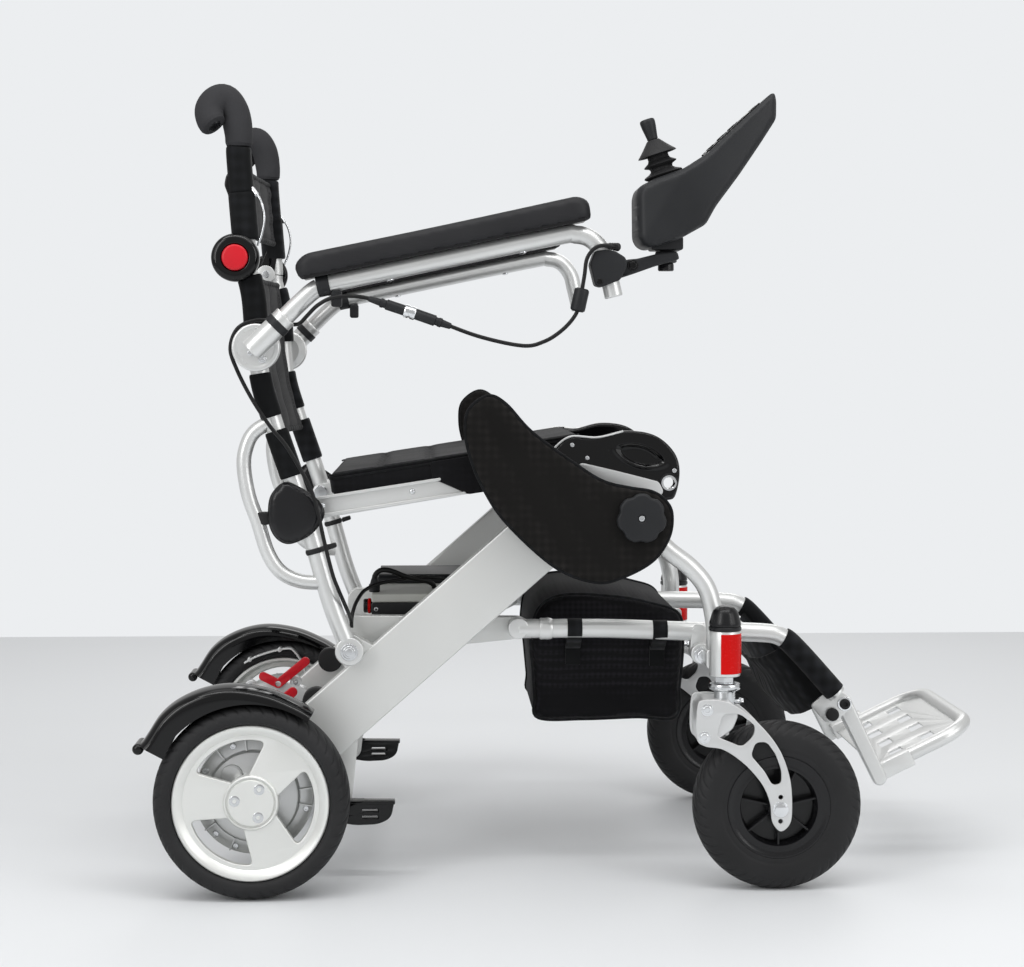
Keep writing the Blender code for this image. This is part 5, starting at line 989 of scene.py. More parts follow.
# gloss covers of the folding hinge
hingePlate = {"inner": .16, "outer": .175, "edge": .0026, "oval": (.0776, .4838)}


def hingePlatePiece(side, label):
    node = f"hinge_plate_{label}"
    outline = evenLoop(closedCurve([(-.052, .462), (-.04, .4765), (-.0217, .4902), (-.0035, .504), (.025, .5038),
        (.0592, .5115), (.0933, .507), (.116, .488), (.123, .465), (.1175, .436), (.105, .43), (.098, .41),
        (.0727, .393), (.05, .408), (.03, .433), (0.0, .444), (-.04, .449)], 12), .0025)
    inner, outer = side * hingePlate["inner"], side * hingePlate["outer"]
    a = turns(72)
    tilt, (ox, oz) = radians(-17), hingePlate["oval"]

    def ovalLine(grow):  # a lens: an ellipse drawn to soft points at both ends
        u, v = .0285 * grow * np.cos(a), .0118 * grow * np.sin(a) * np.abs(np.sin(a)) ** .35
        return np.stack([ox + u * cos(tilt) - v * sin(tilt), oz + u * sin(tilt) + v * cos(tilt)], 1)

    def relief(points, gap):
        # the lens is dished, with a raised lip round it
        u = (points[:, 0] - ox) * cos(tilt) + (points[:, 1] - oz) * sin(tilt)
        v = -(points[:, 0] - ox) * sin(tilt) + (points[:, 1] - oz) * cos(tilt)
        share = np.abs(u / .0285) ** 1.7 + np.abs(v / .0118) ** 1.7
        return -.003 * ramp((1 - share) / .55) ** .6 + .0008 * np.exp(-((share - 1.15) / .22) ** 2)

    holes = [circle(joint["front"], .0083, 32), circle((.1105, .452), .0078, 32)]
    shell = pillow(outline, inner, outer, hingePlate["edge"], 0.0, .02, .0016, relief, True, holes)
    put(f"{node}_cover", [shell], "gloss", node, sharpAngle=60)
    bezel = loopSweep(lift(ovalLine(.8), outer - side * .0017), .0006, 10)
    put(f"{node}_recess_rim", [bezel], "gloss", node)
    blade = roundCorners([(.007, .4738), (.0119, .475), (.0577, .4642), (.0985, .4535), (.1045, .442), (.098, .434),
        (.06, .442), (.03, .454), (.015, .4655)], [.002, .003, .02, .003, .004, .004, .02, .02, .004])
    edge = sweep(lift(curvedPath([(-.026, .487), (-.0126, .4998), (-.002, .5052), (.01, .5052), (.0256, .504),
        (.042, .5066), (.058, .5112)], .002), outer - side * .0014), .0013, 12)
    put(f"{node}_trim", [slab(blade, outer - side * .001, outer + side * .0016, .0006), edge], "cast", node)
    screws = [capScrew(at, outer + side * .0012, side, .0026, .0018)
        for at in ((-.0007, .4955), (.0165, .4807), (.1165, .4662))]
    put(f"{node}_screws", screws, "steel", node)
    liner = turned([(.0068, -.0148), (.0078, -.015), (.0088, -.0152), (.0088, -.0158), (.007, -.0158),
        (.0064, -.0152), (.0064, .0004), (.007, .0009), (.0088, .0009), (.009, .0002)], (.1105, .452), outer, side,
        40, True)
    put(f"{node}_hole_liner", [liner], "chrome", node)


def frontAxle():
    tube = turned(mirrored([(0.0, -.2208), (.007, -.2208), (.008, -.2198)]), joint["front"], 0, 1, 40)
    put("front_axle_tube", [tube], "frame", "front_axle")


# caster forks
fork = {"mid": .245, "in": .026, "out": .03, "edge": .0009}


def casterFork(side, label):
    node = f"caster_fork_{label}"
    outline = closedCurve([(.1317, .2105), (.1393, .217), (.1612, .2159), (.1846, .2039), (.2081, .1821),
        (.2245, .1592), (.2343, .133), (.2376, .109), (.2365, .0806), (.2255, .0697), (.2157, .0806), (.213, .1019),
        (.2037, .1231), (.1846, .145), (.1612, .1613), (.14, .1657), (.131, .1755)], 8)
    upper = roundCorners([(.16, .2015), (.179, .2015), (.1965, .188), (.194, .176), (.1815, .1645), (.153, .1765)],
        .0055, 7)
    lower = roundCorners([(.1965, .1695), (.209, .17), (.219, .156), (.2255, .138), (.2255, .123), (.2155, .1215),
        (.207, .137), (.1915, .155)], .005, 7)
    ax, az = joint["casterAxle"]
    holes = [upper, lower, circle((ax, az + .0135), .0026, 20), circle((ax, az - .0135), .0026, 20)]
    plates = [slab(outline, side * fork["mid"] + s * fork["in"], side * fork["mid"] + s * fork["out"], fork["edge"],
        holes, 3) for s in (-1, 1)]
    crown = slab(roundCorners([(.133, .169), (.148, .1665), (.172, .184), (.178, .199), (.17, .215), (.14, .216),
        (.1325, .208)], .004), side * fork["mid"] - .0268, side * fork["mid"] + .0268, .0022, rings=3)
    put(f"{node}_casting", [*plates, crown], "cast", node)
    cx, cy = frontLeg["barrel"][0], side * frontLeg["barrel"][1]
    cup = upright([(0.0, .208), (.0118, .208), (.0118, .2215), (.0126, .2232), (.015, .224), (.017, .2252),
        (.0178, .2272), (.0178, .2296), (.017, .2314), (.015, .2324), (.0112, .2328), (.0112, .233)], (cx, cy), 60)
    stem = upright([(0.0, .2326), (.006, .2326), (.006, .27), (0.0, .27)], (cx, cy), 24)
    nutRing = [along((cx, cy), 2 * pi * i / 6 + .3, .0112) for i in range(6)]
    nut = hexPrism(nutRing, .2322, .2394)
    put(f"{node}_stem_nut", [cup, stem, nut], "steel", node)
    edge = side * fork["mid"]
    bolts = [revolve([(0, -.012), (.0026, -.012), (.0026, .0215), (0, .0215)], (cx, cy - side * .004, .21),
        (1, 0, 0), 20), revolve([(0, .017), (.0044, .017), (.0048, .0176), (.0048, .0206), (.0044, .0212),
        (0, .0212)], (cx, cy - side * .004, .21), (1, 0, 0), 6)]
    for s in (-1, 1):
        face = edge + s * fork["out"]
        for at in ((.1426, .2061), (.1395, .1755)):
            bolts += [disc(at, face - s * .0002, face + s * .0007, .0068, .0003),
                capScrew(at, face + s * .0024, s, .0052, .002)]
        bolts += [disc((ax, az), face - s * .0002, face + s * .001, .0088, .0005),
            ngonBolt((ax, az), face + s * .0009, s, .013, .0019, turn=.2)]
    axle = disc((ax, az), edge - .0305, edge + .0305, .005, .0004)
    rods = [disc(at, edge - .0305, edge + .0305, .003, .0004) for at in ((.1426, .2061), (.1395, .1755))]
    put(f"{node}_bolts", [*bolts, axle, *rods], "chrome", node)


def hexPrism(ring, low, high):  # an upright prism on (x, y) points, its end edges chamfered
    ring = np.asarray(ring)
    middle = ring.mean(0)
    steps = ((.92, low), (1, low + .0006), (1, high - .0006), (.92, high))  # share of the width, height
    rows = [np.column_stack([middle + (ring - middle) * share, np.full(len(ring), z)]) for share, z in steps]
    count = len(ring)
    faces = gridFaces(4, count, loopColumns=True) + [list(range(count))[::-1], list(range(3 * count, 4 * count))]
    return solid(np.array(rows), faces)


# caster wheels
casterWheel = {"radius": .0945, "mid": .245, "grooves": 46, "depth": .002}


def casterWheelPiece(side, label):
    node = f"caster_wheel_{label}"
    x, z = joint["casterAxle"]
    mid = side * casterWheel["mid"]
    half = [(.0945, 0.0), (.0944, .0045), (.0938, .0085), (.0922, .0125), (.0896, .016), (.086, .0188),
        (.0815, .0208), (.0765, .0218), (.071, .0221), (.0655, .0217), (.0605, .0207), (.0578, .0198)]
    section = half + [(.057, .015), (.057, -.015)] + [(r, -o) for r, o in half[:0:-1]]
    fine = np.asarray(closedCurve(section, 4))
    a = turns(528)[None, :]
    rho, across = fine[:, :1], fine[:, 1:]
    # slanted notches over the shoulder, long on the side wall and gone at the crown's middle
    band = ramp((np.abs(across) - .003) / .003) * ramp((rho - .08) / .005)
    phase = casterWheel["grooves"] * (a - np.abs(across) * 14.0 - (across > 0) * .07)
    notch = ramp((np.cos(phase) - .7) / .3) ** .6
    radius = rho - casterWheel["depth"] * notch * band
    radius = radius - .001 * ramp(1 - np.abs(np.abs(across) - .0022) / .0011) * (rho > .0925)
    ring = np.where(np.abs(rho - .064) < .0012, .0004, 0.0)  # fine line where tyre meets the bead
    verts = spots(x + radius * np.cos(a), mid + across * (1 - ring / .02), z + radius * np.sin(a))
    tyre = solid(verts, gridFaces(len(fine), 528, True, True))
    put(f"caster_tyre_{label}", [tyre], "rubber", node, sharpAngle=60)
    rim = turned(mirrored([(.0568, .015), (.058, .0192), (.0574, .0203), (.056, .0205), (.0545, .02), (.0525, .019),
        (.05, .0186), (.047, .0187), (.0448, .019), (.0436, .0188), (.043, .0178), (.0424, .012), (.0418, .006),
        (.0405, .0022), (.015, .0018)]), joint["casterAxle"], mid, 1, 120, True)
    boss = turned(mirrored([(.0056, .0254), (.0105, .0254), (.0117, .025), (.0121, .024), (.0126, .012),
        (.015, .0018)]), joint["casterAxle"], mid, 1, 60, True)
    ribs = []
    for i in range(7):
        a = 2 * pi * (i + .25) / 7
        start, end = along((x, z), a, .011), along((x, z), a, .0428)
        ribs.append(slab(bar(start, end, .0013, .0011, 8), mid - .016, mid + .016, .0005, rings=1))
    put(f"caster_hub_{label}", [rim, boss, *ribs], "hub", node)


for label, side in sides.items():
    sideGuard(side, label)
    guardKnob(side, label)
    frontLegPiece(side, label)
    hingePlatePiece(side, label)
    casterFork(side, label)
    casterWheelPiece(side, label)
frontAxle()
print("front frame and casters ready")


# cloth tools
def creases(points, size, seed, count=7):
    # smooth hollows and swells, between about -1 and 1: a few sine waves in seeded directions
    rng = np.random.default_rng(seed)
    total = np.zeros(len(points))
    for _ in range(count):
        direction = rng.normal(size=3)
        direction /= np.linalg.norm(direction)
        total += np.sin(points @ direction * (2 * pi / (size * rng.uniform(.6, 1.7))) + rng.uniform(0, 2 * pi))
    return total / count * 1.6


def vertsOf(mesh):
    block = np.empty(len(mesh.vertices) * 3)
    mesh.vertices.foreach_get("co", block)
    return block.reshape(-1, 3)


def setVerts(mesh, verts):
    mesh.vertices.foreach_set("co", np.asarray(verts).ravel())
    mesh.update()
    return mesh


def stitches(path, length=.003, gap=.0014, radius=.00035):
    # a row of short thread ends lying along the path
    path = np.asarray(path, float)
    starts = np.arange(gap, runsOf(path)[-1] - length, length + gap)
    line = atRuns(path, starts[:, None] + np.linspace(0, length, 4)[None])
    tangent = unit(line[:, -1] - line[:, 0])
    helper = np.where(np.abs(tangent[:, 1:2]) < .8, [[0.0, 1.0, 0.0]], [[0.0, 0.0, 1.0]])
    u = unit(np.cross(tangent, helper))
    radii = radius * np.array([.35, 1.0, 1.0, .35])[:, None, None]
    verts = line[:, :, None] + rings(u, np.cross(tangent, u), 6)[:, None] * radii
    faces = []
    for i in range(len(starts)):
        faces += gridFaces(4, 6, loopColumns=True, start=i * 24)
        faces += [[i * 24 + k for k in range(5, -1, -1)], [i * 24 + 18 + k for k in range(6)]]
    return meshFrom(verts, faces)


def placed(mesh, u, v, w, origin):  # the mesh's x, y and z laid along u, v and w from the origin
    mesh.transform(Matrix(((u[0], v[0], w[0], origin[0]), (u[1], v[1], w[1], origin[1]),
        (u[2], v[2], w[2], origin[2]), (0, 0, 0, 1))))
    return outwards(mesh)


def boxy(low, high, corner, bevel):
    (x0, y0, z0), (x1, y1, z1) = low, high
    return slab(roundCorners([(x0, z0), (x1, z0), (x1, z1), (x0, z1)], corner), y0, y1, bevel, rings=3)


def sheetMesh(grid, thickness):
    # a closed skin about a grid of points (rows, columns, 3), half the thickness to each side
    grid = np.asarray(grid, float)
    normal = unit(np.cross(np.gradient(grid, axis=0), np.gradient(grid, axis=1)))
    rows, columns = grid.shape[:2]
    thick = np.full((rows, columns), thickness / 2)
    for k, share in ((0, .3), (1, .8)):  # rounded hems
        for edge in (np.s_[k, :], np.s_[rows - 1 - k, :], np.s_[:, k], np.s_[:, columns - 1 - k]):
            thick[edge] = np.minimum(thick[edge], thickness / 2 * share)
    verts = np.concatenate([grid + normal * thick[..., None], grid - normal * thick[..., None]])
    count = rows * columns
    faces = gridFaces(rows, columns) + [f[::-1] for f in gridFaces(rows, columns, start=count)]
    ring = ([*range(columns)] + [i * columns + columns - 1 for i in range(1, rows)]
        + [(rows - 1) * columns + j for j in range(columns - 2, -1, -1)]
        + [i * columns for i in range(rows - 2, 0, -1)])
    return solid(verts, faces + bandFaces(ring, count))


# leg rest frame
legRest = {"railR": .011, "rail": [(-.062, .2836), (.0366, .2836), (.1279, .2801), (.2146, .2779), (.242, .273),
    (.262, .257), (.3087, .205)], "bracket": [(.2787, .191), (.3067, .215), (.3277, .199), (.3227, .184),
    (.3067, .17), (.2967, .171)]}


def legRestFrame():
    pieces, bright, dark = [], [], []
    for side in (-1, 1):
        y = side * layer["rail"]
        pieces += [sweep(sidePath(legRest["rail"], y, .003), legRest["railR"], 40, .001),
            revolve([(.01, -.0075), (.0122, -.007), (.0126, -.0055), (.0124, -.002), (.0127, .002), (.0124, .0055),
            (.0118, .007), (.01, .0075)], (-.03, y, .2836), (1, 0, 0), 40),
            slab(circle(joint["tray"], .012, 40), side * .1532, side * .174, .0014, rings=3),
            slab(bar(joint["leg"], (.147, .2795), .0115, .01), side * .1582, side * .1748, .0016, rings=3),
            slab(roundCorners(legRest["bracket"], .005), side * .1532, side * .158, .0012)]
        bright += [disc(joint["leg"], side * .1892, side * .1995, .0085, .0008),
            disc(joint["leg"], side * .1994, side * .2008, .0098, .0005),
            capScrew(joint["leg"], side * .2055, side, .0068, .005)]
        dark.append(disc((.3042, .1808), side * .157, side * .164, .0076, .0022))
        bright += [disc(joint["foot"], side * .1396, side * .154, .005, .0006),
            disc(joint["foot"], side * .158, side * .1592, .0085, .0005)]
        dark.append(capScrew(joint["foot"], side * .1632, side, .0062, .0042))
    pieces.append(disc((.2, .2784), -.16, .16, .0075, .0004))
    put("leg_rest_tubes", pieces, "frame", "leg_rest_frame")
    put("leg_rest_bolts", bright, "chrome", "leg_rest_frame")
    put("leg_rest_bumpers", dark, "rubber", "leg_rest_frame")


# footplate: slotted plate in a tube rim, on two leg bars
foot = {"tilt": radians(26), "bottom": (.3625, .1035), "half": .1265, "reach": .1269, "rimR": .0085}


def footplatePiece():
    c, s = cos(foot["tilt"]), sin(foot["tilt"])
    u, v, w, origin = (c, 0, s), (-s, 0, c), (0, 1, 0), (foot["bottom"][0], 0, foot["bottom"][1])
    slots = []
    for row, start in enumerate((.03, .072)):
        for i in range(4):
            mid = (i - 1.5) * .06 + .004 * row
            slots.append(roundCorners([(start, mid - .014), (start + .016, mid - .014), (start + .016, mid + .014),
                (start, mid + .014)], .0022))
    outline = roundCorners([(.006, -foot["half"]), (.1249, -foot["half"]), (.1249, foot["half"]),
        (.006, foot["half"])], [.003, .036, .036, .003], 10)
    deck = placed(slab(outline, .0011, .0041, .0007, slots), u, v, w, origin)
    corner, half, start, reach = .04, .1275, .03, foot["reach"]
    turn = np.linspace(0, pi / 2, 12)
    leftCorner = np.stack([reach - corner + corner * np.sin(turn), half - corner + corner * np.cos(turn)], 1)
    line = np.vstack([[[start, half]], leftCorner, (leftCorner * [1, -1])[::-1], [[start, -half]]])
    flat = atRuns(line, np.linspace(0, runsOf(line)[-1], 160))
    rimPath = np.array(origin) + flat[:, :1] * np.array(u) + .0035 * np.array(v) + flat[:, 1:] * np.array(w)
    pieces = [deck, sweep(rimPath, foot["rimR"], 32, .001)]
    for side in (-1, 1):
        pieces.append(slab(bar(joint["foot"], foot["bottom"], .01, .0085), side * .1426, side * .1524, .003,
            rings=4))
        heel = [(.002, -.006), (.046, -.006), (.046, .013), (.002, .013)]
        pieces.append(slab(roundCorners([(origin[0] + a * c - b * s, origin[2] + a * s + b * c) for a, b in heel],
            .0018), side * .1267, side * .1445, .001))
    put("footplate_welded", pieces, "frame", "footplate")


# calf strap: elastic cloth sleeved on the rails, sagging between them
strap = {"thick": .0036, "sag": .039}


def calfStrap():
    top, bottom = np.array([.256, .272]), np.array([.304, .206])
    out = np.array([.68, .73])  # the cloth hangs back and down from the rails
    t = np.linspace(0, 1, 40)[:, None]
    s = np.linspace(-1, 1, 97)[None, :]
    sag = strap["sag"] * (1 - s ** 4) * (.85 + .15 * t) + .0022 * np.cos(3 * pi * t) * (1 - s ** 2)
    sag = sag + .0007 * np.sin(26 * s + 3 * t) * (1 - s ** 2) + .016 * ramp(1 - (1 - np.abs(s)) / .06) * -.45
    base = top + (bottom - top) * t
    place = base[:, None, :] - out * (sag + .016)[..., None]
    grid = spots(place[..., 0], s * .156, place[..., 1])
    cloth = sheetMesh(grid, strap["thick"])
    sleeves, seams = [], []
    rail = sidePath(legRest["rail"], 0.0, .002)
    keep = rail[(rail[:, 0] > .244) & (rail[:, 0] < .307)]
    for side in (-1, 1):
        path = keep + [0, side * layer["rail"], 0]
        sleeves.append(sweep(path, legRest["railR"] + .0016, 36, .0008))
        edge = keep[4:-4] + [-out[0] * .0115, side * (layer["rail"] - .0085), -out[1] * .0115]
        seams.append(stitches(edge))
    body = put("calf_strap_cloth", [cloth, *sleeves], "webbing", "calf_strap", sharpAngle=60)
    put("calf_strap_stitching", seams, "rubber", "calf_strap")


# storage bag: pack cloth with piped edges, domed above the rails
bagShape = {"half": .1365, "edge": .014, "piping": .0016}


def narrowing(z):
    return 1 - .26 * ramp((.262 - z) / .06) * (1 - .1 * ramp((.2 - z) / .03))


def storageBag():
    outline = evenLoop(closedCurve([(-.046, .266), (-.043, .2318), (-.04, .1946), (-.036, .169), (.0193, .1672),
        (.0819, .1691), (.128, .169), (.133, .21), (.133, .262), (.128, .296), (.0951, .309), (.051, .317),
        (-.0077, .319), (-.037, .303)], 12), .004)
    half = bagShape["half"]
    shell = pillow(outline, -half + .001, half - .001, bagShape["edge"], 0.0, .05, .005)
    verts = vertsOf(shell)
    folds = creases(verts * [1.0, .6, 1.5], .075, 11) * .0016 + creases(verts, .03, 5) * .0005
    away = np.sign(verts[:, 1]) * ramp(np.abs(verts[:, 1]) / half) ** 6
    verts[:, 1] += away * (folds - .0014)
    top = ramp((verts[:, 2] - .3) / .02) * ramp(1 - np.abs(verts[:, 1]) / half)
    verts[:, 2] += top * creases(verts * [1.0, .5, 1.0], .05, 3) * .0012
    verts[:, 2] += np.where(verts[:, 2] < .172, creases(verts, .09, 9) * .0008, 0)
    verts[:, 1] *= narrowing(verts[:, 2])
    setVerts(shell, verts)
    body = put("storage_bag_shell", [shell], "bag", "storage_bag", sharpAngle=60)
    piping, loops = [], []
    for side in (-1, 1):
        path = lift(outline, 0.0)
        path[:, 1] = side * (half - .0062) * narrowing(path[:, 2])
        piping.append(loopSweep(path, bagShape["piping"], 10))
        for at in (.003, .1015):  # webbing loops over the rails
            ry, rz = side * layer["rail"], .2836 if at < .05 else .2811
            a = np.linspace(radians(-35), radians(215), 26)
            ring = np.stack([ry + side * .0118 * np.cos(a), rz + .0118 * np.sin(a)], 1)
            tail = np.array([[side * (half + .001), rz - .024], [side * (half + .0035), rz - .0265]])
            outer = np.vstack([ring, tail])
            middle = outer.mean(0)
            inner = middle + (outer - middle) * .9
            inner[:len(ring)] = np.stack([ry + side * .0113 * np.cos(a), rz + .0113 * np.sin(a)], 1)
            band = slab(outer.tolist(), at - .0085, at + .0085, .0004, [inner.tolist()], 1)
            loops.append(placed(band, (0, 1, 0), (1, 0, 0), (0, 0, 1), (0, 0, 0)))
            loops.append(boxy((at - .0085, side * (half - .004), rz - .046),
                (at + .0085, side * (half + .0008), rz - .022), .001, .0006))
    put("storage_bag_piping", piping, "webbing", "storage_bag")
    put("storage_bag_webbing", loops, "webbing", "storage_bag")


# battery tray with drive controller and battery
def batteryTray():
    outline = roundCorners([(-.262, .264), (-.12, .2645), (-.066, .27), (-.05, .278), (-.05, .291), (-.06, .296),
        (-.262, .2985), (-.269, .29), (-.27, .273)], .004)
    pieces = [slab(outline, side * .1376, side * .1524, .0014, rings=3) for side in (-1, 1)]
    pieces += [boxy((-.244, -.1385, .27), (-.096, .1385, .273), .001, .0006),
        boxy((-.103, -.1385, .271), (-.095, .1385, .286), .001, .0008)]
    put("battery_tray_frame", pieces, "beam", "battery_tray")


def controlBox():
    node = "control_box"
    base = boxy((-.2315, -.1148, .2734), (-.1182, .0048, .3085), .0025, .0012)
    ridges = [boxy((-.2322, -.105 + i * .0155, .279), (-.2312, -.0985 + i * .0155, .305), .0003, .0003)
        for i in range(7)]
    put("drive_controller_base", [base, *ridges], "matt", node)
    lid = boxy((-.232, -.115, .3088), (-.118, .005, .319), .003, .0024)
    put("drive_controller_lid", [lid], "grey", node)
    screws = [capScrew((x, .301), -.1152, -1, .0026, .0014) for x in (-.2265, -.1235)]
    shell = revolve([(0.0, -.0125), (.0068, -.0125), (.0082, -.0118), (.0085, -.01), (.0085, 0.0), (0.0, 0.0)],
        (-.231, -.045, .2973), (1, 0, 0), 36)
    put("drive_controller_screws", screws, "steel", node)
    put("drive_controller_plug", [shell], "hub", node)
    ring = revolve([(.0086, -.007), (.0092, -.0066), (.0092, -.004), (.0086, -.0036)], (-.231, -.045, .2973),
        (1, 0, 0), 36, closed=True)
    put("drive_controller_plug_ring", [ring], "redBand", node)


def batteryPack():
    body = boxy((-.2298, .0102, .2734), (-.1082, .1328, .3265), .006, .0035)
    lid = boxy((-.2265, .0135, .3262), (-.1115, .1295, .3292), .0012, .001)
    ribs = [boxy((-.218 + i * .015, .0098, .279), (-.211 + i * .015, .0104, .32), .0004, .0003) for i in range(7)]
    put("battery_pack_case", [body, lid, *ribs], "matt", "battery_pack")


legRestFrame()
footplatePiece()
calfStrap()
storageBag()
batteryTray()
controlBox()
batteryPack()
print("leg rest, bag and tray ready")


# back frame: lower posts with grab loops, covers, hinge hubs and armrest bosses
backFrame = {"tubeR": .0105, "loopR": .0082, "post": [(-.3661, .7047), (-.3661, .695), (-.3582, .6588),
    (-.3526, .5791), (-.3392, .5275), (-.3167, .4602), (-.2965, .3974), (-.2752, .3222), (-.2585, .277)],
    "loop": [(-.3405, .524), (-.3594, .5118), (-.3683, .495), (-.3711, .4737), (-.3661, .4411), (-.356, .412),
    (-.3448, .3761), (-.3302, .3547), (-.3089, .3446), (-.283, .3424)], "upper": [(-.3661, .7053), (-.3661, .7143),
    (-.3695, .7553), (-.374, .816), (-.374, .8277)], "cover": [(-.3254, .4556), (-.3103, .4511), (-.2925, .4396),
    (-.2828, .4272), (-.2828, .4165), (-.2925, .4023), (-.305, .3934), (-.3209, .3881), (-.3334, .3934),
    (-.3414, .4076), (-.3427, .4272), (-.3388, .4431)]}


def cut(path, low, high):  # the part of a path between two heights
    return path[(path[:, 2] >= low) & (path[:, 2] <= high)]


def squareSleeve(path, half, hem=.0008):
    # webbing wrapped round a tube: a soft square section carried along the path, its frame kept in the side plane
    path = np.asarray(path, float)
    tangent = unit(np.gradient(path, axis=0))
    across = np.cross(tangent, [0.0, 1.0, 0.0])
    a = turns(32)
    power = 2 / 3.2
    section = np.stack([np.sign(np.cos(a)) * np.abs(np.cos(a)) ** power,
        np.sign(np.sin(a)) * np.abs(np.sin(a)) ** power], 1)
    scale = np.full(len(path), half)
    scale[0] = scale[-1] = half - hem
    verts = path[:, None] + scale[:, None, None] * (across[:, None] * section[None, :, :1]
        + np.array([0.0, 1.0, 0.0]) * section[None, :, 1:])
    rows = len(path)
    faces = gridFaces(rows, 32, loopColumns=True) + endCaps(rows, 32)
    return solid(verts, faces)


def backUpright(side, label):
    node = f"back_upright_{label}"
    y = side * layer["tube"]
    post = sweep(sidePath(backFrame["post"], y, .004), backFrame["tubeR"], 36)
    loop = sweep(sidePath(backFrame["loop"], y, .003), backFrame["loopR"], 32)
    knuckle = slab(circle(joint["backPivot"], .016, 48), side * .2002, side * .2204, .0016, rings=3)
    seatPin = [disc(joint["seatPivot"], side * .1765, side * .2085, .006, .0006),
        disc(joint["seatPivot"], side * .1712, side * .1767, .009, .001)]
    ax, az = joint["arm"]
    boss = turned([(0.0, .2135), (.018, .2135), (.024, .2215), (.025, .2235), (.0252, .225), (.0252, .2425),
        (.0244, .2438), (.023, .2442), (0.0, .2442)], (ax, az), 0, side, 72)
    arm = slab(roundCorners([(-.376, .7), (-.358, .7), (-.354, .67), (-.366, .67)], .003), side * .2145,
        side * .2225, .0014)
    put(f"{node}_tubes", [post, loop, knuckle, boss, arm], "frame", node)
    put(f"{node}_pins", [*seatPin, disc((ax, az), side * .244, side * .2523, .006, .0006),
        disc(joint["halfBack"], side * .195, side * .2223, .005, .0006)], "steel", node)
    hx, hz = joint["halfBack"]
    hub = turned([(0.0, .2215), (.0235, .2215), (.0255, .2225), (.0265, .2245), (.0265, .2335), (.0258, .2362),
        (.0238, .2382), (.0205, .2392), (.017, .2393), (.0156, .239), (.0149, .2382), (.0147, .2284), (0.0, .2284)],
        (hx, hz), 0, side, 84)
    put(f"back_hinge_hub_{label}", [hub], "gloss", node, sharpAngle=50)
    outline = evenLoop(closedCurve(backFrame["cover"]), .003)
    cover = pillow(outline, side * .2185, side * .2268, .003, .0016, .012, .004)
    put(f"pivot_cover_{label}", [cover], "hub", node, sharpAngle=60)
    edge = loopSweep(lift(outline, side * .2215), .0011, 10)
    put(f"pivot_cover_{label}_rim", [edge], "gloss", node)
    stub = boxy((-.357, side * layer["tube"] - .0075, .4085), (-.342, side * layer["tube"] + .0075, .4225), .003,
        .0015)
    put(f"grab_loop_clip_{label}", [stub], "rubber", node)
    path = sidePath(backFrame["post"], y, .002)
    tail = roundCorners([(-.28, .385), (-.269, .388), (-.2675, .383), (-.279, .379)], .0015)
    tie = [squareSleeve(cut(path, .3755, .3835), .0118), slab(tail, y - .004, y + .004, .0006)]
    put(f"cable_tie_{label}", tie, "rubber", node)


def releaseButton(side, label):
    button = turned([(0.0, .2345), (.0144, .2345), (.0144, .2395), (.0141, .2408), (.0132, .2416), (.0115, .2419),
        (0.0, .2421)], joint["halfBack"], 0, side, 60)
    put(f"release_button_{label}_cap", [button], "red", f"release_button_{label}")


def backPost(side, label):
    node = f"back_post_{label}"
    y = side * layer["tube"]
    post = sweep(sidePath(backFrame["upper"], y, .004), backFrame["tubeR"], 36)
    eye = slab(circle(joint["halfBack"], .012, 36), side * .1958, side * .1996, .0008)
    strapPiece = slab(bar(joint["halfBack"], (-.369, .733), .0105, .0075), side * .196, side * .206, .001)
    put(f"{node}_tube", [post, eye], "frame", node)
    latch = [sweep(curvedPath([(-.359, y * 1.03, .7815), (-.3498, y * 1.04, .7686), (-.3458, y * 1.04, .75),
        (-.3489, y * 1.035, .7315), (-.354, y * 1.03, .719)], .002), .0013, 12, .0005),
        sweep(curvedPath([(-.361, y * 1.03, .7835), (-.357, y * 1.036, .779), (-.3535, y * 1.04, .7735)], .002),
        .0026, 16, .001)]
    put(f"{node}_wire_latch", latch, "chrome", node)
    latchLever = slab(roundCorners([(-.388, .796), (-.382, .804), (-.379, .78), (-.384, .77), (-.39, .786)], .003),
        y - .008, y + .008, .0016)
    put(f"{node}_latch_pad", [latchLever, strapPiece], "gloss", node)


def pushGrip(side, label):
    node = f"push_grip_{label}"
    line = [(-.374, .2105, .828), (-.3742, .2105, .844), (-.3785, .2105, .866), (-.388, .2125, .8795),
        (-.3985, .216, .8775), (-.405, .2215, .8675), (-.4035, .227, .856), (-.3985, .23, .849)]
    path = curvedPath([(x, side * y, z) for x, y, z in line], .002)
    share = np.linspace(0, 1, len(path))
    radius = np.interp(share, [0, .04, .25, .6, .85, 1], [.0146, .015, .0163, .017, .0158, .015])
    foam = sweep(path, radius, 44, .0035)
    put(f"{node}_foam", [foam], "foam", node)
    end = path[-1] + (path[-1] - path[-2]) / np.linalg.norm(path[-1] - path[-2]) * .0002
    plug = revolve([(0.0, .0012), (.006, .0012), (.0072, .0006), (.0076, -.001), (0.0, -.001)], end,
        path[-1] - path[-2], 32)
    put(f"{node}_plug", [plug], "hub", node)


# back slings: padded cloth, sleeved on the posts
slingShape = {"half": .1985, "thick": .0078, "channel": .0016}
slingLines = {
    "lower": [(-.3335, .506), (-.344, .545), (-.3525, .585), (-.356, .625), (-.359, .66), (-.362, .69)],
    "upper": [(-.3675, .745), (-.37, .77), (-.3715, .795), (-.3735, .82)]}


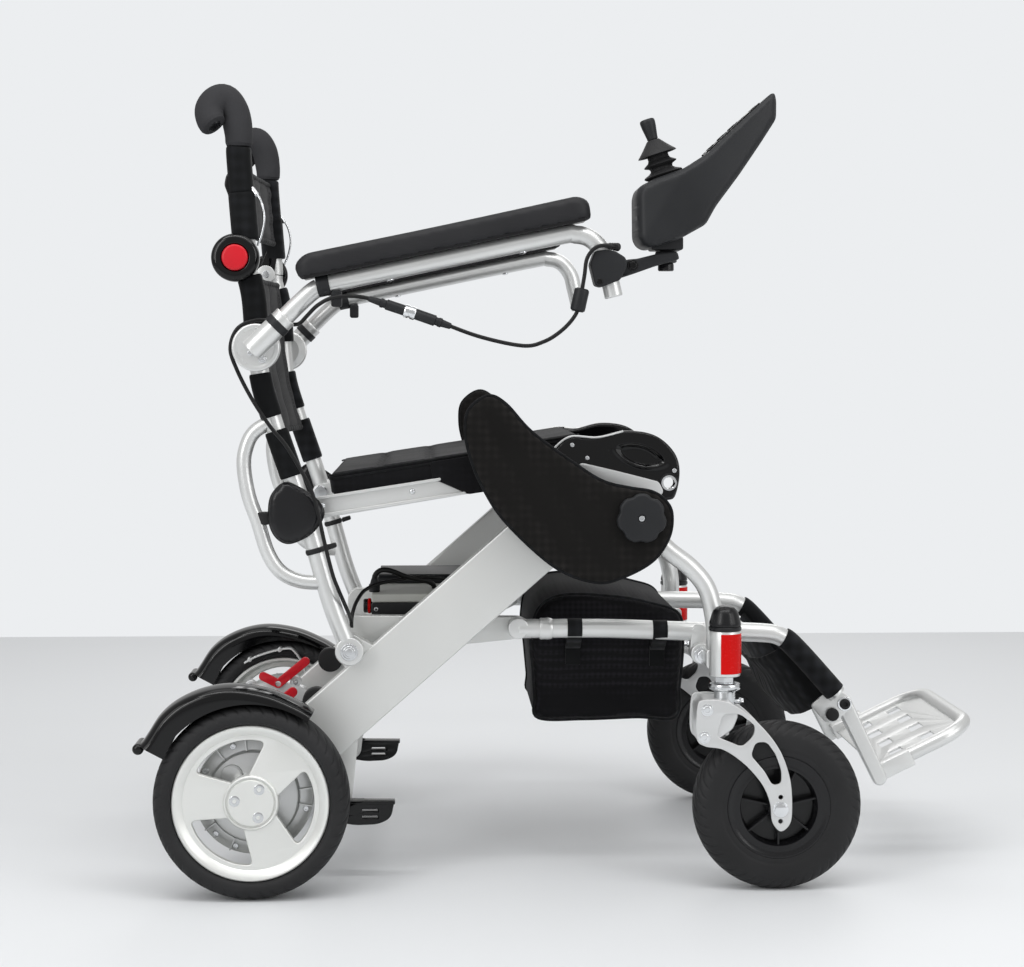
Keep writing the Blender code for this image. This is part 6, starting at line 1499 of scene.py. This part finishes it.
def slingPiece(key, sleeves, posts, hollow):
    node = f"back_sling_{key}"
    line = curvedPath(slingLines[key], .004)
    rows = len(line)
    s = np.linspace(-1, 1, 121)[None, :]
    t = np.linspace(0, 1, rows)[:, None]
    # hollow backwards in the middle, quilted in upright channels, with small cross creases near the sides
    depth = hollow * (1 - s ** 2) + slingShape["channel"] * (1 - np.abs(np.sin(s * 3.5 * pi)) ** .7) * (1 - s ** 8)
    depth = depth + .0006 * np.sin(14 * t + 5 * s) * s ** 2 + .0004 * np.sin(31 * t - 9 * s)
    grid = spots(line[:, :1] - depth, s * slingShape["half"], line[:, 1:])
    cloth = sheetMesh(grid, slingShape["thick"])
    body = put(f"{node}_cloth", [cloth], "seat", node, sharpAngle=60)
    bands, seams, hems = [], [], []
    for side in (-1, 1):
        path = sidePath(posts, side * layer["tube"], .002)
        for low, high, half in sleeves:
            bands.append(squareSleeve(cut(path, low, high), half))
        k = 6 if side < 0 else -7
        seams += [stitches(grid[2:-2, k] + [.0042, 0, 0]), stitches(grid[2:-2, k] - [.0042, 0, 0])]
    for k in (0, -1):
        hems.append(sweep(grid[k, 1:-1], .004, 14, .001))
    put(f"{node}_sleeves", bands, "webbing", node, sharpAngle=60)
    put(f"{node}_binding", hems, "webbing", node)
    put(f"{node}_stitching", seams, "rubber", node)


# seat: channel rails and a padded sling
seatRun = {"turn": atan2(.041, .266), "thick": .03, "half": .195, "nose": .153}


def seatRail(side, label):
    node = f"seat_rail_{label}"
    inner, outer = side * .177, side * .197
    a, b = joint["seatPivot"], joint["seatFront"]
    c, s = cos(seatRun["turn"]), sin(seatRun["turn"])
    web = slab(bar(a, b, .0105, .0075), inner, outer - side * .0036, .001)

    def onRail(run, rise):
        return (a[0] + run * c - rise * s, a[1] + run * s + rise * c)

    channel = slab([onRail(*p) for p in ((.01, .0146), (.157, .0146), (.185, -.008), (.01, -.008))],
        outer - side * .006, outer - side * .0034, .0006)
    lips = [channel]
    for rise, far in ((.0132, .1575), (-.0066, .183)):
        lips.append(slab(bar(onRail(.012, rise), onRail(far, rise), .0016, .0016, 8), outer - side * .004,
            outer + side * .0006, .0006))
    boss = disc(b, side * .1756, side * .181, .0065, .0006)
    put(f"{node}_channel", [web, *lips, boss], "frame", node)
    rivets = [revolve([(0, .0016), (.0022, .0012), (.0034, .0002), (.0036, -.0006), (0, -.0006)],
        (a[0] + run * c - .004 * s, outer - side * .0034, a[1] + run * s + .004 * c), (0, side, 0), 24)
        for run in (.022, .125)]
    put(f"{node}_rivets", rivets, "steel", node)


def seatPad():
    c, s = cos(seatRun["turn"]), sin(seatRun["turn"])
    start, end, shoulder = .0345, .3245, .222
    wide, nose = seatRun["half"], seatRun["nose"]
    outline = roundCorners([(start, -wide), (shoulder, -wide), (shoulder + .016, -nose), (end, -nose),
        (end, nose), (shoulder + .016, nose), (shoulder, wide), (start, wide)],
        [.01, .008, .008, .016, .016, .008, .008, .01], 7)
    outline = evenLoop(outline, .005)

    def relief(points, gap):
        # cross channels every 58 mm, deepest in the middle, and soft creases between them
        wave = np.maximum(np.cos(2 * pi * (points[:, 0] - start) / .058), 0) ** 8
        fade = ramp(gap / .02)
        flat = np.column_stack([points, np.zeros(len(points))])
        return -.0034 * wave * fade + .0007 * creases(flat, .06, 21) * fade

    pad = pillow(outline, .0125, .0385, .0045, -.0045, .045, .0048, relief, False)
    origin = (joint["seatPivot"][0], 0, joint["seatPivot"][1])
    pad = placed(pad, (c, 0, s), (-s, 0, c), (0, 1, 0), origin)
    body = put("seat_pad_cushion", [pad], "seat", "seat_pad", sharpAngle=60)

    def onPad(points, height):
        p = np.asarray(points, float)
        return np.array(origin) + p[:, :1] * [c, 0, s] + height * np.array([-s, 0, c]) + p[:, 1:] * [0, 1, 0]

    piping = [loopSweep(onPad(outline, height), .0011, 8) for height in (.032, .0362)]
    skirts = []
    for side in (-1, 1):  # the cover's side hangs over the rail in front of its slanted end
        p = [(.15, .015), (.187, -.0088), (.224, -.0088), (.228, .034), (.15, .034)]
        skirts.append(slab(roundCorners([(origin[0] + u * c - v * s, origin[2] + u * s + v * c) for u, v in p],
            .003), side * .1936, side * .1972, .0012))
    put("seat_pad_side_flaps", skirts, "seat", "seat_pad")
    put("seat_pad_piping", piping, "webbing", "seat_pad")
    across = np.linspace(-nose + .02, nose - .02, 90)
    rows = [stitches(onPad([(start + .058 * k, y) for y in across], .0312), .0034, .0016, .0004)
        for k in (1, 2, 3, 4)]
    put("seat_pad_stitching", rows, "rubber", "seat_pad")


# armrests
armShape = {"y": .2665, "tubeR": .01, "padHalf": .02}
armKink, armFront = np.array([-.286, .6725]), np.array([-.021, .728])
armAlong = (armFront - armKink) / np.linalg.norm(armFront - armKink)
armUp = np.array([-armAlong[1], armAlong[0]])


def armLine(run, rise):
    spot = armKink + run * armAlong + rise * armUp
    return float(spot[0]), float(spot[1])


def armrest(side, label):
    node = f"armrest_{label}"
    x, z = joint["arm"]
    y = side * armShape["y"]
    path = [(x + .012, z + .0116), (-.3, .6585), armLine(.004, -.0015), armLine(.026, 0), armLine(.258, 0),
        (-.0045, .729), (.0135, .724), (.0262, .709), (.0315, .69), (.0385, .661)]
    tube = sweep(sidePath(path, y, .003), armShape["tubeR"], 40, .0012)
    face = turned([(.0063, .2446), (.025, .2446), (.026, .2452), (.0262, .2462), (.0262, .255), (.0256, .256),
        (.0244, .2565), (.0205, .256), (.02, .2556), (.0063, .2556)], (x, z), 0, side, 84, True)
    socketAlong = np.array([.7115, .7027])
    ends = [np.array([x, z]) + socketAlong * k for k in (-.006, .048)]
    socket = sweep(lift(np.linspace(*ends, 14), y), .0128, 40, .0012)
    put(f"{node}_tube", [tube, face, socket], "frame", node)
    bandEnds = [np.array([x, z]) + socketAlong * k for k in (.03, .039)]
    band = sweep(lift(np.linspace(*bandEnds, 6), y), .0138, 40, .0008)
    collarEnds = [np.array(path[2]) + armAlong * k for k in (-.004, .01)]
    collar = sweep(lift(np.linspace(*collarEnds, 6) + [0, .001], y), .0122, 36, .001)
    clip = boxy((-.27, y - .0075, .65), (-.2585, y + .0075, .668), .003, .0015)
    put(f"{node}_bands", [band, collar, clip], "matt", node)
    lugs = [disc((x + .0075, z - .0125), side * .255, side * .2582, .0046, .001),
        disc((x + .0075, z - .0125), side * .2578, side * .259, .0026, .0006),
        disc((x - .006, z - .006), side * .255, side * .26, .0028, .0008)]
    for run in (.08, .2275):  # screws up into the pad
        at = armLine(run, -.0102)
        lugs.append(revolve([(0.0, .0014), (.003, .001), (.0042, 0.0), (.0042, -.001), (0.0, -.001)],
            (at[0], y, at[1]), (-armUp[0], 0, -armUp[1]), 24))
    put(f"{node}_screws", lugs, "chrome", node)


def armPad(side, label):
    node = f"arm_pad_{label}"
    s, r, length = -.0175, .0103, .325
    corners = [(s + .002, r), (s + length, r), (s + length + .0015, r + .0195), (s + length - .01, r + .027),
        (s + length / 2, r + .0255), (s + .012, r + .026), (s - .002, r + .0156)]
    points = [armLine(a, b) for a, b in corners]
    outline = evenLoop(roundCorners(points, [.004, .004, .01, .012, .06, .012, .008], 9), .004)
    y = side * armShape["y"]
    half = armShape["padHalf"]
    pad = pillow(outline, y - half, y + half, .0062, .0008, .012, .004)
    # plan view: the ends are rounded, and a parting line runs round the lower edge
    verts = vertsOf(pad)
    run = (verts[:, [0, 2]] - armKink) @ armAlong
    near = np.minimum(run - (s - .002), s + length + .0015 - run)
    squeeze = 1 - .42 * (1 - np.sqrt(ramp(1 - (1 - ramp(near / .02)) ** 2)))
    verts[:, 1] = y + (verts[:, 1] - y) * squeeze
    body = put(f"{node}_skin", [setVerts(pad, verts)], "pad", node, sharpAngle=60)
    base = [armLine(a, b) for a, b in ((s + .006, r - .0012), (s + length - .006, r - .0012),
        (s + length - .006, r + .003), (s + .006, r + .003))]
    plate = slab(roundCorners(base, .0015), y - half + .003, y + half - .003, .0008)
    put(f"{node}_base", [plate], "hub", node)


for label, side in sides.items():
    backUpright(side, label)
    releaseButton(side, label)
    backPost(side, label)
    pushGrip(side, label)
    seatRail(side, label)
    armrest(side, label)
    armPad(side, label)
slingPiece("lower", [(.616, .686, .0138), (.528, .579, .0124), (.461, .514, .0132)], backFrame["post"], .012)
slingPiece("upper", [(.724, .7795, .015), (.7775, .829, .0138)], backFrame["upper"], .01)
seatPad()
print("back, seat and armrests ready")


# controller on its swivel bracket, sitter's right
control = {"y": -.24, "half": .043, "edge": .0075, "tilt": radians(17.5), "base": (.096, .795)}


def controllerBracket():
    node = "controller_bracket"
    clamp = slab(roundCorners([(.0112, .6965), (.0162, .7105), (.026, .712), (.0385, .7108), (.05, .7035),
        (.052, .695), (.044, .679), (.0235, .6715), (.017, .6735)], .0026), -.282, -.251, .0018, rings=3)
    arm = slab(roundCorners([(.04, .68), (.044, .7), (.054, .7022), (.064, .703), (.088, .709), (.108, .711),
        (.1105, .7025), (.084, .695), (.062, .6872)], .0028), -.269, -.246, .0026, rings=3)
    boss = upright([(0.0, .6995), (.0105, .6995), (.012, .7008), (.012, .71), (.0112, .712), (0.0, .712)],
        (.098, -.244), 48)
    link = slab(roundCorners([(.09, .7), (.106, .7), (.106, .71), (.09, .71)], .002), -.258, -.244, .0014)
    put("controller_bracket_body", [clamp, arm, boss, link], "matt", node)
    bolts = [disc((.059, .6955), -.268, -.27, .0062, .0006), capScrew((.059, .6955), -.2722, -1, .0042, .003),
        capScrew((.022, .6775), -.2832, -1, .0032, .002)]
    put("controller_bracket_bolts", bolts, "gloss", node)
    nut = upright([(0.0, .6905), (.0078, .6905), (.0088, .6915), (.0088, .6975), (.008, .6993), (0.0, .6993)],
        (.098, -.244), 36)
    put("controller_bracket_nut", [nut], "hub", node)


housingOutline = [(.069, .718), (.064, .726), (.0628, .772), (.066, .7815), (.084, .7905), (.1135, .8005),
    (.1384, .8164), (.158, .835), (.21, .883), (.2145, .884), (.2166, .876), (.2166, .856), (.199, .829),
    (.175, .794), (.1495, .76), (.1384, .74), (.1096, .724), (.0775, .7145)]
creaseLine = ((.07, .721), (.115, .796))  # one facet ends and the next begins along it


# the keypad's directions (up the slope, out of it, across) and its origin
keypad = ((.7314, 0, .682), (-.682, 0, .7314), (0, 1, 0), (.148, control["y"], .8254))


def controllerHousing():
    node = "controller_housing"
    outline = evenLoop(roundCorners(housingOutline, .0045, 6), .0022)
    (ax, az), (bx, bz) = creaseLine
    size = np.hypot(bx - ax, bz - az)
    normal = np.array([-(bz - az) / size, (bx - ax) / size])

    def relief(points, gap):
        # the side leans in both ways from the crease: 13 degrees above it, 4 below
        away = (points - [ax, az]) @ normal
        lean = np.where(away > 0, .24 * away, -.07 * away)
        return -np.minimum(np.sqrt(lean ** 2 + .0004 ** 2) - .0004, .01)

    shell = pillow(outline, control["y"] + control["half"], control["y"] - control["half"], control["edge"], 0.0,
        .02, .0035, relief)
    verts = vertsOf(shell)
    inner = verts[:, 1] > control["y"]
    verts[inner, 1] += relief(verts[inner][:, [0, 2]], None)
    share = np.clip((verts[:, 0] - .12) / .097, 0, 1.05)
    verts[:, 1] = control["y"] + (verts[:, 1] - control["y"]) * (1 - .34 * share ** 2)
    shell = setVerts(shell, verts)
    pin = upright([(0.0, .7048), (.0058, .7048), (.0058, .726), (0.0, .726)], (.098, -.244), 32)
    footBlock = boxy((.08, control["y"] - .024, .7128), (.115, control["y"] + .016, .7275), .003, .0016)
    put("controller_shell", [shell, pin, footBlock], "matt", node, sharpAngle=60)
    # keypad on the sloping top: membrane with a hole for the power key, gloss rim, four keys and a row of charge
    # lights
    panel = roundCorners([(-.009, -.026), (.03, -.025), (.07, -.019), (.07, .019), (.03, .025), (-.009, .026)],
        .006, 8)
    deck = placed(slab(panel, -.0006, .0011, .0005, [circle((0, 0), .0064, 32)]), *keypad)
    put("controller_keypad", [deck], "gloss", node)
    edge = np.array(evenLoop(panel, .002))
    up, out, across, origin = np.array(keypad)
    rim = loopSweep(origin + edge[:, :1] * up + edge[:, 1:] * across + .0007 * out, .0009, 10)
    put("controller_keypad_rim", [rim], "gloss", node)
    keys = [placed(slab(circle(at, .0052, 32), .0008, .0026, .0007, rings=3), *keypad)
        for at in ((.018, -.0125), (.018, .0125), (.034, -.0125), (.034, .0125))]
    put("controller_keys", keys, "rubber", node)
    lamps = [placed(slab(roundCorners([(.052, b - .0022), (.0575, b - .0022), (.0575, b + .0022),
        (.052, b + .0022)], .0008), .0008, .0016, .0003), *keypad) for b in (-.012, -.006, 0.0, .006, .012)]
    put("controller_charge_lights", lamps, "grey", node)


def powerKey():
    key = placed(slab(circle((0, 0), .0054, 36), -.0014, .0025, .0008, rings=3), *keypad)
    put("power_key_cap", [key], "gloss", "power_key")


def stickPieces():
    axis = (-sin(control["tilt"]), 0, cos(control["tilt"]))
    base = (control["base"][0], control["y"], control["base"][1])
    ball = revolve([(.0035 * sin(a), -.01 - .0035 * cos(a)) for a in np.linspace(0, pi, 14)], base, axis, 28)
    at = np.array(base) - .01 * np.array(axis)
    pin = revolve(mirrored([(0, -.0159), (.0012, -.0159), (.0015, -.0156)]), tuple(at), (0, 1, 0), 20)
    put("stick_gimbal_ball", [ball, pin], "steel", "stick_gimbal")
    stick = revolve([(0.0, .0652), (.006, .0652), (.0074, .0647), (.0082, .0636), (.0085, .0615), (.008, .056),
        (.007, .05), (.0062, .045), (.006, .0425), (.0046, .0415), (.004, .04), (.004, .004), (.0028, -.0062),
        (0.0, -.0062)], base, axis, 48)
    put("joystick_grip", [stick], "matt", "joystick")
    skirt = revolve([  # the umbrella that moves with the stick
        (.0042, .0418), (.0066, .0416), (.0082, .04), (.013, .0345), (.018, .0292), (.0216, .0258),
        (.0219, .025), (.0212, .0248), (.0172, .0278), (.0122, .0328), (.0076, .038), (.0042, .0392)],
        base, axis, 64, closed=True)
    put("joystick_skirt", [skirt], "rubber", "joystick")
    boot = revolve([(.006, .033), (.01, .03), (.0118, .0262), (.0118, .0205), (.013, .018), (.0176, .0152),
        (.0187, .0142), (.018, .0132), (.0138, .0116), (.0126, .01), (.0128, .008), (.016, .0058), (.0208, .0038),
        (.0219, .0027), (.0214, .0016), (.02, .0006), (.018, -.0006), (.0165, -.001), (.0165, .0008), (.012, .008),
        (.0112, .011), (.0112, .017), (.0104, .021), (.0104, .0258), (.0088, .0288), (.0052, .0316)], base, axis,
        64, closed=True)
    put("joystick_bellows", [boot], "rubber", "joystick_boot", sharpAngle=50)


controllerBracket()
controllerHousing()
powerKey()
stickPieces()
print("controller ready")


# short lead on the drive controller, and the round connector beside it
boxLead = [(-.229, -.092, .3192), (-.229, -.092, .329), (-.2285, -.092, .338), (-.223, -.092, .344),
    (-.215, -.091, .345), (-.205, -.088, .342), (-.193, -.082, .3365), (-.18, -.074, .332), (-.168, -.066, .329),
    (-.16, -.058, .3245), (-.158, -.055, .319)]
leadPath = curvedPath(boxLead, .003)
lead = finish("drive_controller_lead", sweep(leadPath, .0031, 16), "cable", "tray")
leadPlug = alongCable("drive_controller_lead_plug", leadPath, 0.0, .016,
    [(0, .006), (.05, .0066), (.55, .0066), (.6, .0052), (.7, .0048), (.85, .0042), (1, .0033)], "matt", "tray")
print("leads ready")
